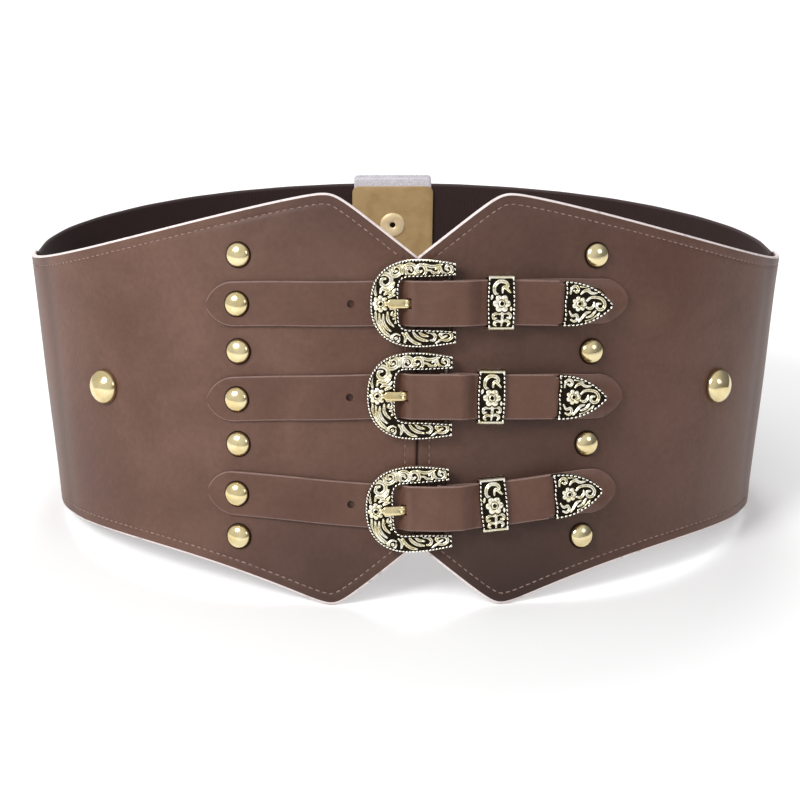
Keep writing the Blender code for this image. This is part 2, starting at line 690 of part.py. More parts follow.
def loft(bm, rings):
    """Quads between closed rings of equal count, with flat ends."""
    rows = [[bm.verts.new(point) for point in ring] for ring in rings]
    count = len(rows[0])
    for first, second in zip(rows, rows[1:]):
        for index in range(count):
            after = (index + 1) % count
            bm.faces.new((first[index], first[after], second[after], second[index]))
    bm.faces.new(rows[0][::-1])
    bm.faces.new(rows[-1])
    bmesh.ops.recalc_face_normals(bm, faces=bm.faces)


def rimmed_ring(outer, inner, ground, rim, back):
    """Cross-section between two points: raised rims on both edges, ground between them."""
    outer = Vector((*outer, 0.0))
    inner = Vector((*inner, 0.0))
    width = (inner - outer).length
    rim_share = RIM_WIDTH / width
    slope_share = rim_share * 0.6
    steps = ((0.0, back), (0.0, rim - RIM_HEIGHT * 0.4), (rim_share * 0.8, rim),
             (rim_share + slope_share, ground), (1.0 - rim_share - slope_share, ground),
             (1.0 - rim_share * 0.8, rim), (1.0, rim - RIM_HEIGHT * 0.4), (1.0, back))
    return [outer.lerp(inner, share) + Vector((0.0, 0.0, height)) for share, height in steps]


def add_flower(bm, matrix, radius, height, petals=8, points=16):
    """A low boss with lobed edge and a button in its middle."""
    rings = []
    for level, scale in ((-0.5, 1.0), (1.0, 0.8)):
        ring = []
        for point in range(points):
            angle = 2 * math.pi * point / points
            lobe = 1.0 + 0.22 * math.cos(petals * angle)
            ring.append(matrix @ Vector((radius * scale * lobe * math.cos(angle),
                                         radius * scale * lobe * math.sin(angle), height * level)))
        rings.append(ring)
    loft(bm, rings)


def scroll_points(centre, radius, start, sweep, count=7):
    """A spiral that opens from its eye, in the plane of the face."""
    points = []
    for step in range(count):
        share = step / (count - 1)
        angle = math.radians(start + sweep * share)
        reach = radius * (0.28 + 0.72 * share)
        points.append((centre[0] + reach * math.cos(angle), centre[1] + reach * math.sin(angle), 0.0))
    return points


def tube_mesh(name, points, radius, closed=False, taper=True):
    """A raised line: a POLY spline with a bevel and filled caps, made a mesh."""
    curve = bpy.data.curves.new(name, "CURVE")
    curve.dimensions = "3D"
    curve.bevel_depth = radius
    curve.bevel_resolution = 0
    curve.use_fill_caps = not closed
    spline = curve.splines.new("POLY")
    spline.points.add(len(points) - 1)
    for index, (spot, point) in enumerate(zip(spline.points, points)):
        spot.co = (*point, 1.0)
        if taper:
            spot.radius = 0.55 + 0.45 * math.sin(math.pi * (index + 0.5) / len(points))
    spline.use_cyclic_u = closed
    helper = bpy.data.objects.new(name, curve)
    bpy.context.scene.collection.objects.link(helper)
    return baked(helper, name)


def add_relief(obj, name, matrix, flowers, scrolls, ground, line=SCROLL_LINE):
    """Raised ornament joined to a casting: lobed flowers and spiral scrolls on its ground."""
    bodies = []
    for index, (centre, radius) in enumerate(flowers):
        bm = bmesh.new()
        add_flower(bm, Matrix.Translation((*centre, ground)), radius, FLOWER_HEIGHT)
        bodies.append(mesh_from(bm, f"{name}_flower_{index}"))
    for index, (centre, radius, start, sweep) in enumerate(scrolls):
        points = [(x, y, ground + line * 0.25) for x, y, _ in scroll_points(centre, radius, start, sweep)]
        bodies.append(tube_mesh(f"{name}_scroll_{index}", points, line))
    for index, mesh in enumerate(bodies):
        joined = hide_cutter(add_object(f"{mesh.name}", mesh, None, matrix, smooth=None,
                                        collection=cutters))
        union = obj.modifiers.new(f"relief_{index}", "BOOLEAN")
        union.operation = "UNION"
        union.object = joined


def build_buckle(row):
    matrix = buckle_matrix(row)
    name = f"buckle_frame_{row['row']}"
    half = FRAME_THICK / 2
    bm = bmesh.new()
    rings = []
    for share in np.linspace(0.0, 1.0, 27):
        outer, inner = frame_station(float(share))
        rings.append(rimmed_ring(outer, inner, half, half + RIM_HEIGHT, -half))
    loft(bm, rings)
    frame = add_object(name, mesh_from(bm, name), CAST_GOLD, matrix)
    bm = bmesh.new()
    across = Matrix.Translation((BAR_X, 0, 0)) @ Matrix.Rotation(math.pi / 2, 4, "X")
    bmesh.ops.create_cone(bm, cap_ends=True, segments=10, radius1=BAR_RADIUS, radius2=BAR_RADIUS,
                          depth=2 * OPENING_END_HALF + ARM_END_WIDTH, matrix=across)
    bar = hide_cutter(add_object(f"{name}_bar", mesh_from(bm, f"{name}_bar"), None, matrix,
                                 smooth=None, collection=cutters))
    join = frame.modifiers.new("bar", "BOOLEAN")
    join.operation = "UNION"
    join.object = bar
    bow_middle = BOW_INNER_X - BOW_WIDTH / 2
    band = (BUCKLE_HEIGHT / 2 + OPENING_HALF) / 2
    flowers = [((bow_middle, 0.0), BOW_FLOWER)]
    scrolls = []
    for sign in (1, -1):
        corner = (bow_middle + BOW_SCROLL, sign * (OPENING_HALF - RIM_WIDTH))
        scrolls.append((corner, BOW_SCROLL, 90 * sign, 330 * sign))
        arm = (ARM_SCROLL + RIM_WIDTH, sign * (band - RIM_WIDTH / 2))
        scrolls.append((arm, ARM_SCROLL, 200 * sign, -330 * sign))
    add_relief(frame, name, matrix, flowers, scrolls, half)


def build_prong(row):
    """A flat bar bent round the buckle's bar, through the strap's hole and onto the bow."""
    matrix = buckle_matrix(row)
    radius = BAR_RADIUS + CLEARANCE + PRONG_THICK / 2
    path = []
    for angle in np.linspace(math.radians(-150), math.radians(90), 9):
        path.append((BAR_X + radius * math.cos(angle), radius * math.sin(angle)))
    on_bow = FRAME_THICK / 2 + RIM_HEIGHT + CLEARANCE + PRONG_THICK / 2
    for out, level in PRONG_BEND:
        path.append((BOW_INNER_X + out, on_bow * level))
    path.append((BOW_INNER_X - PRONG_OVER_BOW, on_bow))

    def place(share, across):
        index = round(share * (len(path) - 1))
        x, z = path[index]
        width = PRONG_WIDTH * (0.86 if index == len(path) - 1 else 1.0)
        return Vector((x, width * (0.5 - across), z))

    prong = sheet(f"buckle_prong_{row['row']}", len(path) - 1, 1, place, PRONG_THICK,
                  POLISHED_GOLD, offset=0.0)
    prong.matrix_local = matrix


def build_keeper(row):
    """A metal loop round both straps, barrel-sided, with a flower and two scrolls."""
    s = row["keeper_s"]
    matrix = row_matrix(row, s, KEEPER_LENGTH / 2)
    name = f"keeper_{row['row']}"
    half_top = STRAP_THICK / 2 + CLEARANCE
    half_back = half_top + STRAP_THICK + CLEARANCE
    inner_half = STRAP_WIDTH / 2 + 3 * CLEARANCE
    outer_half = inner_half + KEEPER_SIDE_WALL
    top = half_top + KEEPER_FRONT_WALL
    back = -half_back - KEEPER_BACK_WALL
    bm = bmesh.new()
    rings = []
    for share in (-1.0, -0.85, -0.45, 0.0, 0.45, 0.85, 1.0):
        y = share * outer_half
        length = KEEPER_LENGTH * (1.0 - 0.10 * share * share)
        edge = 0.0010 if abs(share) == 1.0 else 0.0
        ring = rimmed_ring((-length / 2, y), (length / 2, y), top - edge, top + RIM_HEIGHT - edge, back)
        rings.append(ring)
    loft(bm, rings)
    keeper = add_object(name, mesh_from(bm, name), CAST_GOLD, matrix)

    def opening(bm):
        add_box(bm, matrix, (-KEEPER_LENGTH, -inner_half, -half_back), (KEEPER_LENGTH, inner_half, half_top))

    cut(keeper, f"cut_keeper_{row['row']}", opening)
    up = inner_half - KEEPER_SCROLL - RIM_WIDTH * 0.6
    scrolls = [((0.0, up), KEEPER_SCROLL, 60, 330), ((0.0, -up), KEEPER_SCROLL, 240, 330)]
    add_relief(keeper, name, matrix, [((0.0, 0.0), KEEPER_FLOWER)], scrolls, top)


def tip_half_width(share):
    """Half width of the tip's shield along its length: square at the strap, pointed at the end."""
    return STRAP_WIDTH / 2 * (TIP_POINT + (1.0 - TIP_POINT) * (1.0 - share ** TIP_SPRING) ** TIP_DRAW)


def build_tip(row):
    """A shield-shaped sheath on the end of the hole strap."""
    matrix = row_matrix(row, row["tip_s"], TIP_LENGTH / 2)
    name = f"strap_tip_{row['row']}"
    pocket = STRAP_THICK / 2 + 1.5 * CLEARANCE
    top = pocket + TIP_FRONT_WALL
    back = -pocket - TIP_WALL
    bm = bmesh.new()
    rings = []
    for share in (0.0, 0.05, 0.30, 0.48, 0.62, 0.74, 0.84, 0.92, 0.97, 1.0):
        x = TIP_LENGTH * (share - 0.5)
        half = tip_half_width(float(share))
        rings.append(rimmed_ring((x, -half), (x, half), top, top + RIM_HEIGHT, back))
    loft(bm, rings)
    tip = add_object(name, mesh_from(bm, name), CAST_GOLD, matrix)
    inner_half = STRAP_WIDTH / 2 - TIP_WALL - CLEARANCE

    def pocket_box(bm):
        add_box(bm, matrix, (-TIP_LENGTH, -inner_half, -pocket),
                (-TIP_LENGTH / 2 + TIP_GRIP + 5 * CLEARANCE, inner_half, pocket))

    cut(tip, f"cut_tip_{row['row']}", pocket_box)
    side = STRAP_WIDTH / 2 - TIP_SCROLL - RIM_WIDTH * 2
    x = side - TIP_LENGTH / 2
    scrolls = [((x, side), TIP_SCROLL, 20, 330), ((x, -side), TIP_SCROLL, -20, -330)]
    add_relief(tip, name, matrix, [((TIP_LENGTH * 0.05, 0.0), TIP_FLOWER)], scrolls, top)


def plate(name, matrix, low, high, round_by=0.0025):
    """A flat plate with rounded corners, from one corner of its box to the other."""
    low = Vector(low)
    high = Vector(high)
    bm = bmesh.new()
    bmesh.ops.create_cube(bm, size=1.0, matrix=Matrix.Translation((low + high) / 2)
                          @ Matrix.Diagonal((*(high - low), 1.0)))
    corners = [edge for edge in bm.edges
               if abs((edge.verts[0].co - edge.verts[1].co).normalized().z) > 0.9]
    bmesh.ops.bevel(bm, geom=corners, offset=round_by, segments=4, affect="EDGES", profile=0.5)
    return add_object(name, mesh_from(bm, name), CLASP_GOLD, matrix)


def build_clasp(floor):
    """Two plates with the band's ends between them, fastened by two hollow press studs."""
    middle_v = (BAND_TOP_HALF + floor) / 2 + CLASP_RAISE
    middle_s = CLASP_ASIDE - HALF_ROUND
    half_w = CLASP_PLATE_WIDTH / 2
    half_h = CLASP_PLATE_HEIGHT / 2
    outer = -PANEL_THICK - CLEARANCE
    matrix = place_matrix(middle_s, middle_v)
    edge_point = matrix.inverted() @ wrap(middle_s + half_w, middle_v, outer - BAND_THICK)
    inner_face = edge_point.z - CLEARANCE
    outer_face = outer + CLEARANCE
    inner = plate("clasp_plate_inner", matrix, (-half_w, -half_h, inner_face - CLASP_PLATE_THICK),
                  (half_w, half_h, inner_face))
    outside = plate("clasp_plate_outer", matrix, (-half_w, -half_h, outer_face),
                    (half_w, half_h, outer_face + CLASP_PLATE_THICK))
    heights = {"upper": half_h - CLASP_STUD_DROP, "lower": CLASP_STUD_DROP - half_h}

    def stud_holes(bm):
        for height in heights.values():
            add_drill(bm, matrix @ Matrix.Translation((0, height, 0)), RIVET_SHANK + 4 * CLEARANCE,
                      reach=0.012)

    cut(inner, "cut_clasp_inner", stud_holes)
    cut(outside, "cut_clasp_outer", stud_holes)
    neck = RIVET_SHANK + 3 * CLEARANCE
    bore = RIVET_SHANK * 0.85
    back = inner_face - CLASP_PLATE_THICK - CLEARANCE
    front = outer_face + CLASP_PLATE_THICK + CLEARANCE
    for name, height in heights.items():
        profile = ((0.0, front + 0.0012), (CLASP_STUD_RADIUS * 0.7, front + 0.0012),
                   (CLASP_STUD_RADIUS, front + 0.0004), (CLASP_STUD_RADIUS, front), (neck, front),
                   (neck, back), (CLASP_STUD_RADIUS, back), (CLASP_STUD_RADIUS, back - 0.0005),
                   (CLASP_STUD_RADIUS * 0.62, back - 0.0013), (bore, back - 0.0008),
                   (bore, back + 0.0020), (0.0, back + 0.0020))
        turned(f"clasp_stud_{name}", profile, POLISHED_GOLD,
               matrix @ Matrix.Translation((0, height, 0)), sides=10)


def stand_on_floor():
    """Moves the belt so that the origin is on the floor, below the middle of its box."""
    depsgraph = bpy.context.evaluated_depsgraph_get()
    corners = []
    for obj in parts.objects:
        shape = obj.evaluated_get(depsgraph)
        corners += [shape.matrix_world @ vert.co for vert in shape.data.vertices]
    low = [min(corner[axis] for corner in corners) for axis in range(3)]
    high = [max(corner[axis] for corner in corners) for axis in range(3)]
    belt.location = (-(low[0] + high[0]) / 2, -(low[1] + high[1]) / 2, -low[2])


build_panels()
band_floor = build_band()
build_clasp(band_floor)
build_rivets()
for strap_row in STRAP_ROWS:
    build_hole_strap(strap_row)
    build_buckle_strap(strap_row)
    build_buckle(strap_row)
    build_prong(strap_row)
    build_keeper(strap_row)
    build_tip(strap_row)
stand_on_floor()
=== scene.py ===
import math

import bmesh
import bpy
import numpy as np
from mathutils import Matrix, Vector


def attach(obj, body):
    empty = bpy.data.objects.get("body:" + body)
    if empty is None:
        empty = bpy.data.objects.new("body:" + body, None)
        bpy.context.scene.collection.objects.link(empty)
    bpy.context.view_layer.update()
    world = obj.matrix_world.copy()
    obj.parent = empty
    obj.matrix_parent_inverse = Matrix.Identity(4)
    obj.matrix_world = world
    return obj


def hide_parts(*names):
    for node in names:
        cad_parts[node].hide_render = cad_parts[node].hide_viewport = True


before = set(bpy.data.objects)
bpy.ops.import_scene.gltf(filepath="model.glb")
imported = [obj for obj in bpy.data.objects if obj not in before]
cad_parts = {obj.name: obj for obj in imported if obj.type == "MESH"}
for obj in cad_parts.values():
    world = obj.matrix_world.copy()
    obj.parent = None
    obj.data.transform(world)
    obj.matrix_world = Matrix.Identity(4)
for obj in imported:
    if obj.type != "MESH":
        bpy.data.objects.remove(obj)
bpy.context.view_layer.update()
mm = 0.001

# the loop that the leather and the elastic follow
loop = {
    "halfWidth": 0.1690, "frontDepth": 0.110, "backDepth": 0.128,
    "sideFlare": 0.098,                 # growth of the half width with height
    "lean": math.radians(15.5),         # how far the front leans back
    "rise": 0.0283,                     # front middle line above the back's
    "riseFade": (17.0, 97.0), "leanFade": (60.0, 130.0),
    "centre": np.array((0.0, 0.00223019, 0.05690229)),
}


def quarterLengths(depth, steps=400):
    angle = np.linspace(0.0, math.pi / 2, steps)
    speed = np.hypot(loop["halfWidth"] * np.cos(angle), depth * np.sin(angle))
    length = np.concatenate([[0.0], np.cumsum((speed[1:] + speed[:-1]) / 2 * np.diff(angle))])
    return angle, length


frontAngle, frontArc = quarterLengths(loop["frontDepth"])
backAngle, backArc = quarterLengths(loop["backDepth"])
halfRound = float(frontArc[-1] + backArc[-1])


def fade(angle, between):
    full, gone = between
    share = np.clip((np.degrees(np.abs(angle)) - full) / (gone - full), 0.0, 1.0)
    return 1.0 - share * share * (3.0 - 2.0 * share)


def onLoop(s, v):
    s, v = np.broadcast_arrays(np.asarray(s, float), np.asarray(v, float))
    away = np.abs(s)
    front = away <= frontArc[-1]
    angle = np.where(front, np.interp(away, frontArc, frontAngle),
                     math.pi - np.interp(halfRound - away, backArc, backAngle))
    angle = np.copysign(angle, s)
    depth = np.where(front, loop["frontDepth"], loop["backDepth"])
    lean = loop["lean"] * fade(angle, loop["leanFade"])
    x = (loop["halfWidth"] + loop["sideFlare"] * v) * np.sin(angle)
    y = -depth * np.cos(angle) + v * np.sin(lean)
    z = v * np.cos(lean) + loop["rise"] * fade(angle, loop["riseFade"])
    return np.stack((x, y, z), -1) + loop["centre"]


def unit(vectors):
    return vectors / np.linalg.norm(vectors, axis=-1, keepdims=True)


def directions(s, v, step=0.0002):
    along = unit(onLoop(s + step, v) - onLoop(s - step, v))
    up = onLoop(s, v + step) - onLoop(s, v - step)
    out = unit(np.cross(along, up))
    return along, np.cross(out, along), out


def wrap(s, v, lift=0.0):
    s, v, lift = np.broadcast_arrays(np.asarray(s, float), np.asarray(v, float), np.asarray(lift, float))
    return onLoop(s, v) + directions(s, v)[2] * lift[..., None]


def axesAt(origin, along, out):
    along = Vector(along).normalized()
    out = Vector(out)
    out = (out - along * out.dot(along)).normalized()
    axes = Matrix((along, out.cross(along), out)).transposed()
    return Matrix.Translation(Vector(origin)) @ axes.to_4x4()


def placeMatrix(s, v):
    along, _, out = directions(s, v)
    return axesAt(wrap(s, v), along, out)


def moved(points, matrix):
    grid = np.array(matrix)
    return points @ grid[:3, :3].T + grid[:3, 3]


# meshes and pieces
def meshFrom(name, points, faces, attributes=None, smooth=40.0):
    mesh = bpy.data.meshes.new(name)
    mesh.from_pydata(np.asarray(points).reshape(-1, 3).tolist(), [], faces)
    for key, values in (attributes or {}).items():
        values = np.asarray(values, np.float32)
        vector = values.size == 3 * len(mesh.vertices)
        layer = mesh.attributes.new(key, "FLOAT_VECTOR" if vector else "FLOAT", "POINT")
        layer.data.foreach_set("vector" if vector else "value", values.ravel())
    bm = bmesh.new()
    bm.from_mesh(mesh)
    bmesh.ops.recalc_face_normals(bm, faces=bm.faces)
    bm.to_mesh(mesh)
    bm.free()
    mesh.shade_smooth()
    mesh.set_sharp_from_angle(angle=math.radians(smooth))
    return mesh


def loftFaces(columns, count):
    index = np.arange(columns * count).reshape(columns, count)
    first, second = index[:-1], index[1:]
    quads = np.stack((first, np.roll(first, -1, 1), np.roll(second, -1, 1), second), -1)
    return quads.reshape(-1, 4).tolist() + [index[0][::-1].tolist(), index[-1].tolist()]


def loft(name, rings, attributes=None, smooth=40.0):
    rings = np.asarray(rings)
    return meshFrom(name, rings, loftFaces(*rings.shape[:2]), attributes, smooth)


def joined(name, meshes, smooth=40.0):
    bm = bmesh.new()
    for mesh in meshes:
        bm.from_mesh(mesh)
    mesh = meshes[0].copy()
    mesh.name = name
    bm.to_mesh(mesh)
    bm.free()
    mesh.shade_smooth()
    mesh.set_sharp_from_angle(angle=math.radians(smooth))
    return mesh


def lathe(name, profile, matrix, sides=40, smooth=40.0):
    profile = np.asarray(profile, float)
    angle = np.linspace(0.0, 2 * math.pi, sides, endpoint=False)
    rings = [np.stack((r * np.cos(angle), r * np.sin(angle), np.full(sides, z)), -1) for r, z in profile]
    return loft(name, moved(np.array(rings), matrix), smooth=smooth)


def shown(name, mesh, material):
    obj = bpy.data.objects.new(name, mesh)
    bpy.context.scene.collection.objects.link(obj)
    if material:
        mesh.materials.clear()
        mesh.materials.append(material)
    return obj


def piece(name, mesh, material, replaced=()):
    obj = shown(name, mesh, material)
    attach(obj, "root")
    if replaced:
        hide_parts(*replaced)
    return obj


def settled(obj):
    # the evaluated mesh, plain, with no modifier left
    depsgraph = bpy.context.evaluated_depsgraph_get()
    mesh = bpy.data.meshes.new_from_object(obj.evaluated_get(depsgraph))
    mesh.name = obj.name
    bpy.data.objects.remove(obj, do_unlink=True)
    return mesh


def carved(name, mesh, cutters, smooth=40.0):
    obj = shown(name + "_raw", mesh, None)
    bm = bmesh.new()
    for matrix, shape in cutters:
        if len(shape) == 2:
            bmesh.ops.create_cone(bm, cap_ends=True, segments=28, radius1=shape[0], radius2=shape[0],
                                  depth=shape[1], matrix=matrix)
        else:
            low, high = Vector(shape[:3]), Vector(shape[3:])
            bmesh.ops.create_cube(bm, size=1.0, matrix=matrix @ Matrix.Translation((low + high) / 2)
                                  @ Matrix.Diagonal((*(high - low), 1.0)))
    tool = shown(name + "_tool", meshFromBm(bm, name + "_tool"), None)
    cut = obj.modifiers.new("cut", "BOOLEAN")
    cut.operation = "DIFFERENCE"
    cut.object = tool
    result = settled(obj)
    bpy.data.objects.remove(tool, do_unlink=True)
    result.shade_smooth()
    result.set_sharp_from_angle(angle=math.radians(smooth))
    return result


def meshFromBm(bm, name):
    mesh = bpy.data.meshes.new(name)
    bm.to_mesh(mesh)
    bm.free()
    return mesh


# shader writing
class Wire:
    # one socket's value, usable in plain expressions
    def __init__(self, shade, socket):
        self.shade = shade
        self.socket = socket

    def __add__(self, other):
        return self.shade.math("ADD", self, other)

    def __sub__(self, other):
        return self.shade.math("SUBTRACT", self, other)

    def __rsub__(self, other):
        return self.shade.math("SUBTRACT", other, self)

    def __mul__(self, other):
        return self.shade.math("MULTIPLY", self, other)

    __radd__ = __add__
    __rmul__ = __mul__


class Shade:
    def __init__(self, name, **values):
        self.material = bpy.data.materials.new(name)
        self.material.use_nodes = True
        self.tree = self.material.node_tree
        self.shader = self.tree.nodes["Principled BSDF"]
        for key, value in values.items():
            self.shader.inputs[key.replace("_", " ")].default_value = value

    def node(self, kind, settings=None, inputs=None, output=0):
        node = self.tree.nodes.new(kind)
        for key, value in (settings or {}).items():
            setattr(node, key, value)
        for key, value in (inputs or {}).items():
            self.join(node.inputs[key], value)
        return Wire(self, node.outputs[output])

    def join(self, socket, value):
        if isinstance(value, Wire):
            self.tree.links.new(value.socket, socket)
        else:
            socket.default_value = value

    def math(self, operation, first, second=0.0):
        return self.node("ShaderNodeMath", {"operation": operation}, {0: first, 1: second})

    def mix(self, share, first, second):
        def colour(value):
            return value if isinstance(value, Wire) else (*value, 1.0)
        return self.node("ShaderNodeMix", {"data_type": "RGBA"},
                         {0: share, 6: colour(first), 7: colour(second)}, 2)

    def noise(self, where, scale, detail=3.0, rough=0.5, distortion=0.0):
        return self.node("ShaderNodeTexNoise", None, {"Vector": where, "Scale": scale, "Detail": detail,
                                                      "Roughness": rough, "Distortion": distortion})

    def cells(self, where, scale):
        return self.node("ShaderNodeTexVoronoi", {"feature": "SMOOTH_F1"},
                         {"Vector": where, "Scale": scale})

    def span(self, value, low, high, bottom=0.0, top=1.0):
        return self.node("ShaderNodeMapRange", {"interpolation_type": "SMOOTHSTEP"},
                         {"Value": value, "From Min": low, "From Max": high, "To Min": bottom, "To Max": top})

    def place(self):
        return self.node("ShaderNodeTexCoord", None, None, 3)

    def own(self, name, output=2):
        # an attribute of the piece: 2 is its number, 1 its vector
        return self.node("ShaderNodeAttribute", {"attribute_name": name}, None, output)

    def bump(self, height, distance, strength=1.0):
        return self.node("ShaderNodeBump", None,
                         {"Height": height, "Distance": distance, "Strength": strength})

    def done(self, **wires):
        for key, value in wires.items():
            self.join(self.shader.inputs[key.replace("_", " ")], value)
        return self.material


leatherLook = {
    "panel": {"dark": (0.092, 0.042, 0.028), "light": (0.152, 0.078, 0.056), "rough": 0.46,
              "fibre": ((0.62, 0.52, 0.50), (0.86, 0.79, 0.78))},
    "strap": {"dark": (0.084, 0.038, 0.026), "light": (0.134, 0.067, 0.047), "rough": 0.44,
              "fibre": ((0.20, 0.125, 0.105), (0.34, 0.235, 0.205))},
    # the two dark colours after the lining are painted shade, for the creases and for the peaks and tips
    "lining": ((0.15, 0.115, 0.118), (0.190, 0.150, 0.155)), "crease": (0.030, 0.015, 0.012),
    "burnish": (0.026, 0.0125, 0.0095), "grainCell": 620.0, "grainDepth": 0.00006,
}


def leather(name, kind):
    look = leatherLook[kind]
    shade = Shade(name, Specular_IOR_Level=0.30, Coat_Roughness=0.40, Coat_Weight=0.04)
    where = shade.place()
    mottle = shade.noise(where, 26.0, 5.0, 0.6, 0.6)
    cloud = shade.noise(where, 9.0, 3.0, 0.55)
    speck = shade.noise(where, 420.0, 2.0, 0.6)
    tone = shade.span(mottle * 0.55 + cloud * 0.35 + speck * 0.22, 0.34, 0.78)
    colour = shade.mix(tone, look["dark"], look["light"])
    # painted shade towards the peaks and tips, and between the right panel's straps
    colour = shade.mix(shade.own("burnish"), colour, leatherLook["burnish"])
    # painted shade in the side fold, towards the side ends and down the centre seam
    colour = shade.mix(shade.own("crease"), colour, leatherLook["crease"])
    liningTone = shade.mix(shade.noise(where, 160.0, 4.0), *leatherLook["lining"])
    colour = shade.mix(shade.own("lining"), colour, liningTone)
    edge = shade.own("edge") * shade.span(shade.noise(where, 240.0, 3.0), 0.22, 0.46, 0.55, 1.0)
    colour = shade.mix(edge, colour, shade.mix(shade.noise(where, 900.0, 3.0), *look["fibre"]))
    cell = shade.cells(where, leatherLook["grainCell"])
    pebble = shade.noise(where, 310.0, 4.0, 0.6)
    fold = shade.noise(where, 60.0, 3.0, 0.5, 0.8)
    height = cell * 0.5 + pebble * 0.7 + fold * 1.6
    rough = mottle * 0.16 + (look["rough"] - 0.08) + edge * 0.30
    return shade.done(Base_Color=colour, Roughness=rough,
                      Normal=shade.bump(height, leatherLook["grainDepth"] * 1.6, 0.75))


metalLook = {
    "antiqueGold": {"bright": (0.97, 0.94, 0.82), "warm": (0.87, 0.79, 0.52),
                    "recess": (0.020, 0.015, 0.010)},
    "polishedGold": {"bright": (0.83, 0.71, 0.42), "warm": (0.72, 0.58, 0.29)},
    "beadGold": {"bright": (0.99, 0.97, 0.90), "warm": (0.94, 0.88, 0.70)},
    "claspGold": {"bright": (0.52, 0.350, 0.165), "warm": (0.47, 0.305, 0.135)},
    "ringGold": {"bright": (0.92, 0.73, 0.45), "warm": (0.86, 0.66, 0.38)},
}


def castMetal(name):
    look = metalLook["antiqueGold"]
    shade = Shade(name, Metallic=1.0)
    where = shade.place()
    high = shade.own("relief")
    wear = shade.noise(where, 260.0, 4.0, 0.6)
    tint = shade.mix(shade.span(wear, 0.35, 0.65), look["warm"], look["bright"])
    lit = shade.span(high + (wear - 0.5) * 0.18, 0.18, 0.46)
    colour = shade.mix(lit, look["recess"], tint)
    rough = shade.span(wear, 0.3, 0.7, 0.20, 0.34) + (1.0 - lit) * 0.35
    grain = shade.noise(where, 1400.0, 2.0)
    return shade.done(Base_Color=colour, Roughness=rough, Normal=shade.bump(grain, 0.00003, 0.5))


def polishedMetal(name, roughness, metallic=1.0):
    look = metalLook[name]
    shade = Shade(name, Metallic=metallic)
    where = shade.place()
    smudge = shade.noise(where, 150.0, 4.0, 0.6)
    scratch = shade.noise(where, 1300.0, 3.0, 0.6)
    colour = shade.mix(shade.span(smudge, 0.32, 0.62), look["warm"], look["bright"])
    rough = shade.span(scratch * 0.5 + smudge * 0.5, 0.35, 0.65, roughness * 0.8, roughness * 1.5)
    return shade.done(Base_Color=colour, Roughness=rough, Normal=shade.bump(scratch, 0.00002, 0.4))


def elasticCloth(name):
    shade = Shade(name, Sheen_Weight=0.08, Sheen_Roughness=0.5, Specular_IOR_Level=0.18)
    where = shade.own("pattern", 1)
    rib = shade.node("ShaderNodeTexWave",
                     {"wave_type": "BANDS", "bands_direction": "X", "wave_profile": "SIN"},
                     {"Vector": where, "Scale": 420.0, "Distortion": 0.25, "Detail": 1.0,
                      "Detail Scale": 2.0})
    cord = shade.node("ShaderNodeTexWave",
                      {"wave_type": "BANDS", "bands_direction": "Y", "wave_profile": "SIN"},
                      {"Vector": where, "Scale": 520.0, "Distortion": 0.4, "Detail": 1.0,
                       "Detail Scale": 3.0})
    fuzz = shade.noise(where, 900.0, 4.0)
    cloud = shade.noise(where, 22.0, 3.0)
    weave = rib * 0.65 + cord * 0.35
    colour = shade.mix(shade.span(weave * 0.6 + fuzz * 0.25 + cloud * 0.3, 0.25, 0.85),
                       (0.022, 0.0115, 0.0105), (0.046, 0.026, 0.024))
    pale = shade.own("edge")
    colour = shade.mix(pale, colour, (0.30, 0.25, 0.25))
    return shade.done(Base_Color=colour, Roughness=0.82 + fuzz * 0.1,
                      Normal=shade.bump(weave + fuzz * 0.3, 0.00010, 0.7))


def threadFinish(name, dark, light):
    shade = Shade(name, Specular_IOR_Level=0.3, Sheen_Weight=0.2)
    where = shade.place()
    ply = shade.noise(where, 1500.0, 3.0, 0.6)
    colour = shade.mix(shade.span(ply, 0.35, 0.65), dark, light)
    return shade.done(Base_Color=colour, Roughness=0.6 + ply * 0.2, Normal=shade.bump(ply, 0.0001, 0.6))


panelLeather = leather("panelLeather", "panel")
strapLeather = leather("strapLeather", "strap")
antiqueGold = castMetal("antiqueGold")
polishedGold = polishedMetal("polishedGold", 0.13)
beadGold = polishedMetal("beadGold", 0.20)
claspGold = polishedMetal("claspGold", 0.42, 0.3)
ringGold = polishedMetal("ringGold", 0.45, 0.3)
elastic = elasticCloth("elastic")
redThread = threadFinish("redThread", (0.16, 0.090, 0.072), (0.34, 0.225, 0.195))
paleTape = threadFinish("paleTape", (0.56, 0.53, 0.58), (0.76, 0.73, 0.77))
print("finishes made")


# Geometry Nodes for what repeats
def newTree(name, inputs):
    tree = bpy.data.node_groups.new(name, "GeometryNodeTree")
    tree.interface.new_socket(name="Geometry", in_out="INPUT", socket_type="NodeSocketGeometry")
    sockets = {}
    for label, kind, value in inputs:
        socket = tree.interface.new_socket(name=label, in_out="INPUT", socket_type=kind)
        if value is not None:
            socket.default_value = value
        sockets[label] = socket.identifier
    tree.interface.new_socket(name="Geometry", in_out="OUTPUT", socket_type="NodeSocketGeometry")
    return tree, sockets


def treeNode(tree, kind, settings=None, inputs=None):
    node = tree.nodes.new(kind)
    for key, value in (settings or {}).items():
        setattr(node, key, value)
    for key, value in (inputs or {}).items():
        if isinstance(value, bpy.types.NodeSocket):
            tree.links.new(value, node.inputs[key])
        else:
            node.inputs[key].default_value = value
    return node


